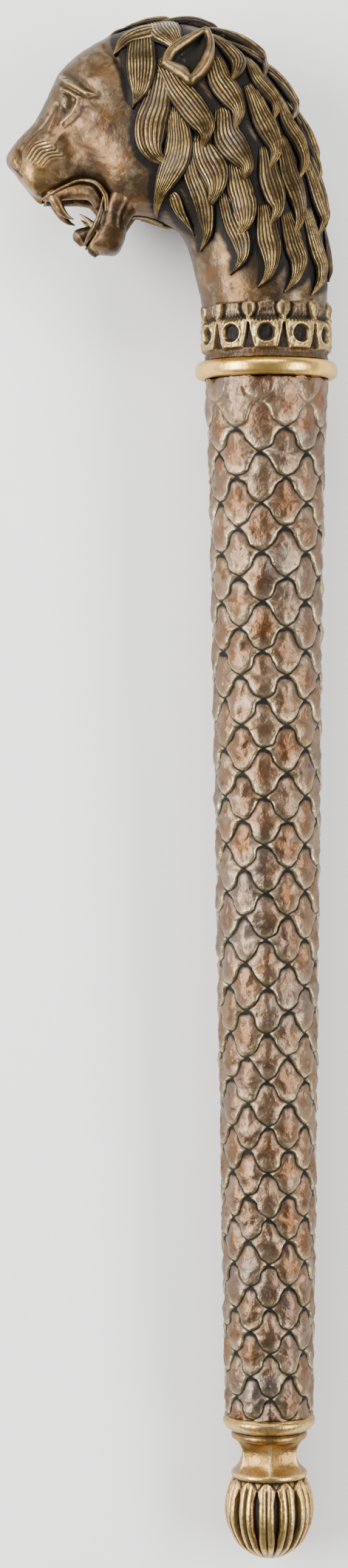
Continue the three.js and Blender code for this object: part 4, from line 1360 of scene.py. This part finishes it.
@dataclass
class ScaledShaft:
    """The tapering shaft, covered by overlapping scales that hang their round lobes towards the foot."""

    columns: int = 7
    rows: int = 22
    radius_foot: float = 20.5
    radius_head: float = 26.9
    flare: float = 1.2
    flare_length: float = 26.0
    pitch_growth: float = 1.115
    twist_foot: float = 1.0
    twist_head: float = -8.6
    flank: tuple[tuple[float, float], ...] = (
        (1.0, 0.0), (0.78, -0.1), (0.62, -0.3), (0.56, -0.54), (0.38, -0.84), (0.0, -1.0),
    )
    groove: float = 1.9
    unevenness: float = 3.4
    plain_end: float = 24.0

    def outline(self) -> Array:
        """The outline of a scale from its top, clockwise, in half columns and half rows."""
        upper = [(1 - x, 1 + y) for x, y in self.flank]
        right = [*upper, *self.flank[1:]]
        left = [(-x, y) for x, y in right[-2:0:-1]]
        return np.array([*right, *left])

    def scale_mesh(self) -> bpy.types.Mesh:
        """One scale, flat in half columns and half rows, with its height in millimetres."""
        outline = self.outline()
        below = smooth_step(-outline[:, 1], -0.25, 0.25)
        rings = [np.column_stack((outline, np.full(len(outline), -self.groove)))]
        for lower_share, upper_share, lower_height, upper_height in (
            (0.925, 0.905, -0.5, -1.25), (0.83, 0.78, -0.42, -0.95), (0.55, 0.46, -0.1, -0.45),
        ):
            share = upper_share + (lower_share - upper_share) * below
            height = upper_height + (lower_height - upper_height) * below
            rings.append(np.column_stack((outline * share[:, None], height)))
        count = len(outline)
        points = np.vstack((*rings, ((0.0, -0.1, 0.0),)))
        faces = []
        for row in range(3):
            for k in range(count):
                after = (k + 1) % count
                start, over = row * count, (row + 1) * count
                faces.append((start + k, start + after, over + after, over + k))
        faces += [(3 * count + k, 3 * count + (k + 1) % count, 4 * count) for k in range(count)]
        # Painted shade in the groove round each scale and on its upper part, which sinks under the scales
        # above, darkest in the slot at its top; a painted highlight along its lower rim
        slot = bell(outline[:, 0], 0, 0.3) * (outline[:, 1] > 0.8)
        hollow = np.concatenate((
            np.full(count, 0.95), (1 - below) * 0.55 + 0.4 * slot, (1 - below) * 0.3, (1 - below) * 0.1,
            [0.0],
        ))
        ridge = np.concatenate((np.zeros(count), below * 0.75, below * 0.15, np.zeros(count + 1)))
        gold = np.concatenate((np.zeros(2 * count), np.full(count, 0.2), np.full(count, 0.8), [1.0]))
        tones = {Tone.HOLLOW: np.clip(hollow, 0, 1), Tone.RIDGE: ridge, Tone.GOLD: gold}
        return Shell(points, faces, tones).mesh("scale")

    def tree(self, material: bpy.types.Material) -> bpy.types.NodeTree:
        """The tree that lays the scales in staggered rows, wraps them round the shaft and smooths them."""
        number = "NodeSocketFloat"
        names = ("Foot", "Head", "Foot Radius", "Head Radius", "Flare", "Flare Length", "Growth",
                 "Foot Twist", "Head Twist", "Unevenness", "Plain End")
        kinds = {"Columns": "NodeSocketInt", "Rows": "NodeSocketInt", **dict.fromkeys(names, number)}
        tree, given, end = new_tree("scales_round_the_shaft", kinds)
        half_rows = add_math(tree, "MULTIPLY", given["Rows"], 2)
        count = add_math(tree, "MULTIPLY", add_math(tree, "ADD", half_rows, 1), given["Columns"])
        index = add_node(tree, "GeometryNodeInputIndex").outputs[0]
        middle = add_math(tree, "ADD", index, 0.5)
        row = add_math(tree, "FLOOR", add_math(tree, "DIVIDE", middle, given["Columns"]))
        in_row = add_math(tree, "SUBTRACT", index, add_math(tree, "MULTIPLY", row, given["Columns"]))
        stagger = add_math(tree, "MODULO", row, 2)
        column = add_math(tree, "ADD", add_math(tree, "MULTIPLY", in_row, 2), stagger)
        spot = add_node(tree, "ShaderNodeCombineXYZ", {}, {"X": column, "Y": row}).outputs[0]
        spots = add_node(tree, "GeometryNodePoints", {}, {"Count": count, "Position": spot}).outputs[0]
        chance = add_node(tree, "FunctionNodeRandomValue", {"data_type": "FLOAT"}, {"Seed": 4})
        inputs = {"Points": spots, "Instance": given["Geometry"]}
        laid = add_node(tree, "GeometryNodeInstanceOnPoints", {}, inputs).outputs[0]
        laid = store_value(tree, laid, "heart", chance.outputs[1], "INSTANCE")
        laid = add_node(tree, "GeometryNodeRealizeInstances", {}, {"Geometry": laid}).outputs[0]
        laid = self.tinted(tree, laid)
        laid = self.trimmed(tree, laid, half_rows)
        laid = self.wrapped(tree, laid, given, half_rows)
        inputs = {"Geometry": laid, "Distance": 0.02}
        laid = add_node(tree, "GeometryNodeMergeByDistance", {}, inputs).outputs[0]
        laid = add_node(tree, "GeometryNodeSubdivisionSurface", {}, {"Mesh": laid, "Level": 1}).outputs[0]
        laid = self.uneven(tree, laid, given["Unevenness"])
        dressed = add_node(tree, "GeometryNodeSetMaterial", {}, {"Geometry": laid, "Material": material})
        tree.links.new(dressed.outputs[0], end.inputs[0])
        return tree

    def tinted(self, tree: bpy.types.NodeTree, laid: object) -> object:
        """Gives each scale its own share of orange in its heart."""
        gold, heart = (held_value(tree, name) for name in (Tone.GOLD.value, "heart"))
        return store_value(tree, laid, Tone.GOLD.value, add_math(tree, "MULTIPLY", gold, heart))

    def trimmed(self, tree: bpy.types.NodeTree, laid: object, half_rows: object) -> object:
        """Cuts off what hangs over the two ends of the shaft."""
        place = add_node(tree, "GeometryNodeInputPosition").outputs[0]
        row = add_node(tree, "ShaderNodeSeparateXYZ", {}, {0: place}).outputs[1]
        over = add_math(tree, "GREATER_THAN", row, half_rows)
        outside = add_math(tree, "MAXIMUM", over, add_math(tree, "LESS_THAN", row, 0.0))
        inputs = {"Geometry": laid, "Selection": outside}
        return add_node(tree, "GeometryNodeDeleteGeometry", {"domain": "FACE"}, inputs).outputs[0]

    def wrapped(
        self, tree: bpy.types.NodeTree, laid: object, given: dict[str, object], half_rows: object
    ) -> object:
        """Wraps the flat lattice round the tapering, slightly twisted shaft."""
        place = add_node(tree, "GeometryNodeInputPosition").outputs[0]
        parts = add_node(tree, "ShaderNodeSeparateXYZ", {}, {0: place}).outputs
        share = add_math(tree, "DIVIDE", parts[1], half_rows)
        bow = add_math(tree, "MULTIPLY", share, add_math(tree, "SUBTRACT", share, 1.0))
        growth = add_math(tree, "DIVIDE", add_math(tree, "SUBTRACT", given["Growth"], 1.0), 2.0)
        grown_share = add_math(tree, "MULTIPLY_ADD", growth, bow, share)
        length = add_math(tree, "SUBTRACT", given["Head"], given["Foot"])
        y = add_math(tree, "MULTIPLY_ADD", grown_share, length, given["Foot"])
        widening = add_math(tree, "SUBTRACT", given["Head Radius"], given["Foot Radius"])
        radius = add_math(tree, "MULTIPLY_ADD", grown_share, widening, given["Foot Radius"])
        past = add_math(tree, "DIVIDE", add_math(tree, "SUBTRACT", y, given["Head"]), given["Flare Length"])
        flare = add_math(tree, "MULTIPLY", add_math(tree, "EXPONENT", past), given["Flare"])
        left = add_math(tree, "DIVIDE", add_math(tree, "SUBTRACT", given["Head"], y), given["Plain End"])
        deepness = add_math(tree, "MINIMUM", add_math(tree, "MAXIMUM", left, 0.0), 1.0)
        radius = add_math(tree, "MULTIPLY_ADD", parts[2], deepness, add_math(tree, "ADD", radius, flare))
        for tone in (Tone.HOLLOW, Tone.RIDGE):
            faded = add_math(tree, "MULTIPLY", held_value(tree, tone.value), deepness)
            laid = store_value(tree, laid, tone.value, faded)
        twisting = add_math(tree, "SUBTRACT", given["Head Twist"], given["Foot Twist"])
        degrees = add_math(tree, "MULTIPLY_ADD", share, twisting, given["Foot Twist"])
        twist = add_math(tree, "RADIANS", degrees)
        column_turn = add_math(tree, "DIVIDE", math.pi, given["Columns"])
        turn = add_math(tree, "MULTIPLY_ADD", parts[0], column_turn, twist)
        x = add_math(tree, "MULTIPLY", radius, add_math(tree, "SINE", turn))
        z = add_math(tree, "MULTIPLY", radius, add_math(tree, "COSINE", turn))
        spot = add_node(tree, "ShaderNodeCombineXYZ", {}, {"X": x, "Y": y, "Z": z}).outputs[0]
        return add_node(tree, "GeometryNodeSetPosition", {}, {"Geometry": laid, "Position": spot}).outputs[0]

    def uneven(self, tree: bpy.types.NodeTree, laid: object, amount: object) -> object:
        """Moves the points a little inwards and outwards, as hand work does."""
        place = add_node(tree, "GeometryNodeInputPosition").outputs[0]
        noise = add_node(tree, "ShaderNodeTexNoise", {}, {"Vector": place, "Scale": 0.16, "Detail": 3.0})
        centred = add_node(
            tree, "ShaderNodeVectorMath", {"operation": "SUBTRACT"},
            {0: noise.outputs["Color"], 1: (0.5, 0.5, 0.5)})
        offset = add_node(
            tree, "ShaderNodeVectorMath", {"operation": "SCALE"}, {0: centred.outputs[0], "Scale": amount})
        inputs = {"Geometry": laid, "Offset": offset.outputs[0]}
        return add_node(tree, "GeometryNodeSetPosition", {}, inputs).outputs[0]

    def build(self) -> None:
        """Builds and dresses the shaft."""
        material = SCALE_BRONZE.build()
        values = {
            "Columns": self.columns, "Rows": self.rows, "Foot": SHAFT_FOOT_Y, "Head": SHAFT_HEAD_Y,
            "Foot Radius": self.radius_foot, "Head Radius": self.radius_head, "Flare": self.flare,
            "Flare Length": self.flare_length, "Growth": self.pitch_growth, "Foot Twist": self.twist_foot,
            "Head Twist": self.twist_head, "Unevenness": self.unevenness, "Plain End": self.plain_end,
        }
        made = grown(self.scale_mesh(), self.tree(material), values)
        weld_outwards(made)
        finish_piece(made, "shaft_of_scales", material, "shaft")


@dataclass
class LotusPommel:
    """The foot of the staff: two beads, a waist with six hollow faces and a lotus bud of twelve petals."""

    lip: tuple[tuple[float, float], ...] = (
        (14.2, 54.0), (16.0, 54.8), (17.2, 56.0), (17.3, 57.4), (16.7, 58.3), (17.0, 58.9), (18.6, 59.6),
        (20.2, 61.2), (21.0, 63.0), (20.9, 64.2), (20.2, 65.2), (20.3, 65.7),
    )
    waist: tuple[tuple[float, float, float], ...] = (
        (37.4, 16.6, 0.0), (38.4, 17.3, 0.0), (39.8, 17.3, 0.05), (41.4, 16.2, 0.35), (44.0, 14.9, 0.8),
        (47.4, 14.1, 1.0), (50.5, 14.3, 1.0), (53.0, 15.4, 0.85), (55.2, 16.6, 0.4), (56.6, 16.8, 0.1),
    )
    waist_hollow: float = 0.2
    lip_grid: tuple[int, int] = (40, 160)
    waist_grid: tuple[int, int] = (60, 240)
    petal_grid: tuple[int, int] = (100, 33)
    petals: int = 12
    petal_turn: float = math.radians(-5.4)
    bud: tuple[tuple[float, float], ...] = (
        (0.0, 0.05), (0.25, 3.4), (1.3, 7.2), (4.0, 11.6), (6.7, 14.7), (9.4, 16.4), (12.1, 17.8),
        (14.8, 18.9), (17.5, 19.7), (22.8, 20.3), (28.3, 19.8), (31.0, 19.2), (33.7, 18.3), (36.4, 17.0),
        (38.6, 15.4),
    )

    def turned_lip(self) -> Shell:
        """The two beads under the shaft."""
        rows, columns = self.lip_grid
        profile = smooth_line(self.lip, np.linspace(0, 1, rows))
        radius, y = profile[:, :1], profile[:, 1:]
        level = np.ones(columns)[None]
        # Painted shade in the groove between the beads, and a painted highlight band on the bead next to the
        # shaft
        tones = {Tone.HOLLOW: 0.8 * bell(y, 58.5, 0.8) * level, Tone.RIDGE: 0.7 * bell(y, 62.0, 2.2) * level}
        return Shell.from_grid(around(radius, whole_turn(columns)[None], y), tones)

    def hollow_waist(self) -> Shell:
        """The six-sided waist, with an arris towards the viewer."""
        rows, columns = self.waist_grid
        line = smooth_line(self.waist, np.linspace(0, 1, rows))
        turn = whole_turn(columns)
        from_arris = np.abs((turn / (math.pi / 3) + 0.5) % 1 - 0.5)
        sink = np.sin(from_arris * math.pi)[None] ** 0.8 * self.waist_hollow * line[:, 2:]
        grid = around(line[:, 1:2] * (1 - sink), turn[None], line[:, :1])
        # Painted highlights along the arrises and the rim, painted shade at the foot and the neck, and
        # patches of wax at random
        arris = bell(from_arris, 0, 0.035)[None] * line[:, 2:]
        rim, foot, neck = (
            bell(line[:, :1], y, width) * np.ones(columns)[None]
            for y, width in ((39.2, 1.1), (37.2, 0.7), (55.6, 1.4))
        )
        patch = 0.35 * np.clip(waviness(grid, 22.0, 9), 0, 1) * line[:, 2:]
        hollow = np.max((foot, 0.6 * neck, patch), axis=0)
        return Shell.from_grid(grid, {Tone.HOLLOW: hollow, Tone.RIDGE: np.maximum(0.7 * arris, 0.7 * rim)})

    def petal_mesh(self) -> bpy.types.Mesh:
        """One petal of the bud: two ribs beside a fine line, a pointed tip, and half a slot on each side."""
        rows, columns = self.petal_grid
        half_turn = math.pi / self.petals
        line = smooth_line(self.bud, np.linspace(0, 1, rows))
        turn = np.linspace(-half_turn, half_turn, columns)
        y, radius = line[:, :1], line[:, 1:]
        x = turn[None] * radius
        from_slot = half_turn * radius - np.abs(x)
        size = smooth_step(radius, 3.0, 17.0)
        tip_y = 38.4 - 5.4 * (np.abs(turn)[None] / half_turn) ** 1.2
        inside = 1 - smooth_step(y, tip_y - 0.5, tip_y + 0.5)
        slot_half = 1.35 * size * (smooth_step(y, 10, 17) * (1 - smooth_step(y, 28.5, 33)) * 0.75 + 0.25)
        slot = (1 - smooth_step(from_slot, slot_half * 0.6, slot_half + 0.55)) * inside
        line_near = bell(x, 0, 0.42) * size * (1 - smooth_step(y, 33, 36))
        rib = bell(np.abs(x), 1.9 * size, 0.95) * size * inside
        tip_edge = bell(y, tip_y, 0.7)
        height = -0.75 + 0.75 * rib + 0.25 * inside - 0.75 * line_near
        height = height - 2.0 * slot * size - 0.8 * (1 - inside)
        grid = around(radius + np.minimum(height, 0) * smooth_step(radius, 1.0, 8.0), turn[None], y)
        # Painted shade in the slots, along the fine line and under each tip; painted highlights on the ribs
        # and along the tip's edge
        shadow = bell(y - tip_y, 0.9, 0.8)
        hollow = np.max((slot * size, 0.9 * line_near, shadow), axis=0)
        tones = {Tone.HOLLOW: hollow, Tone.RIDGE: np.maximum(0.85 * rib, 0.5 * tip_edge * inside)}
        turned = self.petal_turn
        grid = np.stack((
            grid[..., 0] * math.cos(turned) + grid[..., 2] * math.sin(turned), grid[..., 1],
            grid[..., 2] * math.cos(turned) - grid[..., 0] * math.sin(turned)), axis=-1)
        return sector_mesh("petal", grid, tones, closed=False)

    def build(self) -> None:
        """Builds and dresses the beads with the waist, and the bud."""
        brass = POMMEL_BRASS.build()
        mouldings = Shell.joined([self.turned_lip(), self.hollow_waist()]).mesh("pommel_waist")
        finish_piece(mouldings, "pommel_waist", brass, "pommel")
        bud = grown(self.petal_mesh(), repeat_round_tree(brass), {"Count": self.petals})
        weld_outwards(bud)
        finish_piece(bud, "lotus_bud", brass, "pommel")


@dataclass
class Studio:
    """A pale floor and soft light from large panels."""

    floor_size: float = 30.0
    floor_colour: str = "fbfaf8"

    def floor(self) -> None:
        """A plain pale floor that the mace lies on."""
        half = self.floor_size / 2
        mesh = bpy.data.meshes.new("floor")
        corners = [(-half, -half, 0), (half, -half, 0), (half, half, 0), (-half, half, 0)]
        mesh.from_pydata(corners, [], [(0, 1, 2, 3)])
        material = bpy.data.materials.new("matt_pale_board")
        material.use_nodes = True
        shader = material.node_tree.nodes["Principled BSDF"]
        shader.inputs["Base Color"].default_value = linear(self.floor_colour)
        shader.inputs["Roughness"].default_value = 0.9
        mesh.materials.append(material)
        floor = bpy.data.objects.new("floor", mesh)
        bpy.context.scene.collection.objects.link(floor)

    def panel(
        self, name: str, place: Sequence[float], turn: Sequence[float], size: Sequence[float], power: float
    ) -> None:
        """One soft panel.

        Args:
            name: The light's name.
            place: Where it stands, in metres.
            turn: Its turns about X, Y and Z in degrees; unturned it shines down.
            size: Its width and length in metres.
            power: Its power in watts.
        """
        data = bpy.data.lights.new(name, "AREA")
        data.shape = "RECTANGLE"
        data.size, data.size_y = size
        data.energy = power
        light = bpy.data.objects.new(name, data)
        light.location = place
        light.rotation_euler = [math.radians(angle) for angle in turn]
        bpy.context.scene.collection.objects.link(light)

    def build(self) -> None:
        """Sets the floor, the lights and the pale surroundings."""
        self.floor()
        self.panel("panel_left", (-1.5, 0.3, 1.1), (0, -52, 0), (0.8, 2.0), 92)
        self.panel("panel_right", (1.5, -0.1, 1.2), (0, 50, 0), (0.6, 2.0), 54)
        self.panel("panel_head", (0.0, 1.6, 1.3), (-48, 0, 0), (1.4, 0.5), 24)
        world = bpy.data.worlds.new("studio_surroundings")
        world.use_nodes = True
        background = world.node_tree.nodes["Background"]
        background.inputs["Color"].default_value = linear("e6e8ea")
        background.inputs["Strength"].default_value = 0.4
        bpy.context.scene.world = world


def main() -> None:
    """Builds the mace, the camera and the studio."""
    logging.basicConfig(level=logging.INFO, format="%(name)s: %(message)s")
    CAMERA.build()
    Studio().build()
    LionHead().build()
    CollarRing().build()
    ScaledShaft().build()
    LotusPommel().build()


if __name__ == "__main__":
    main()
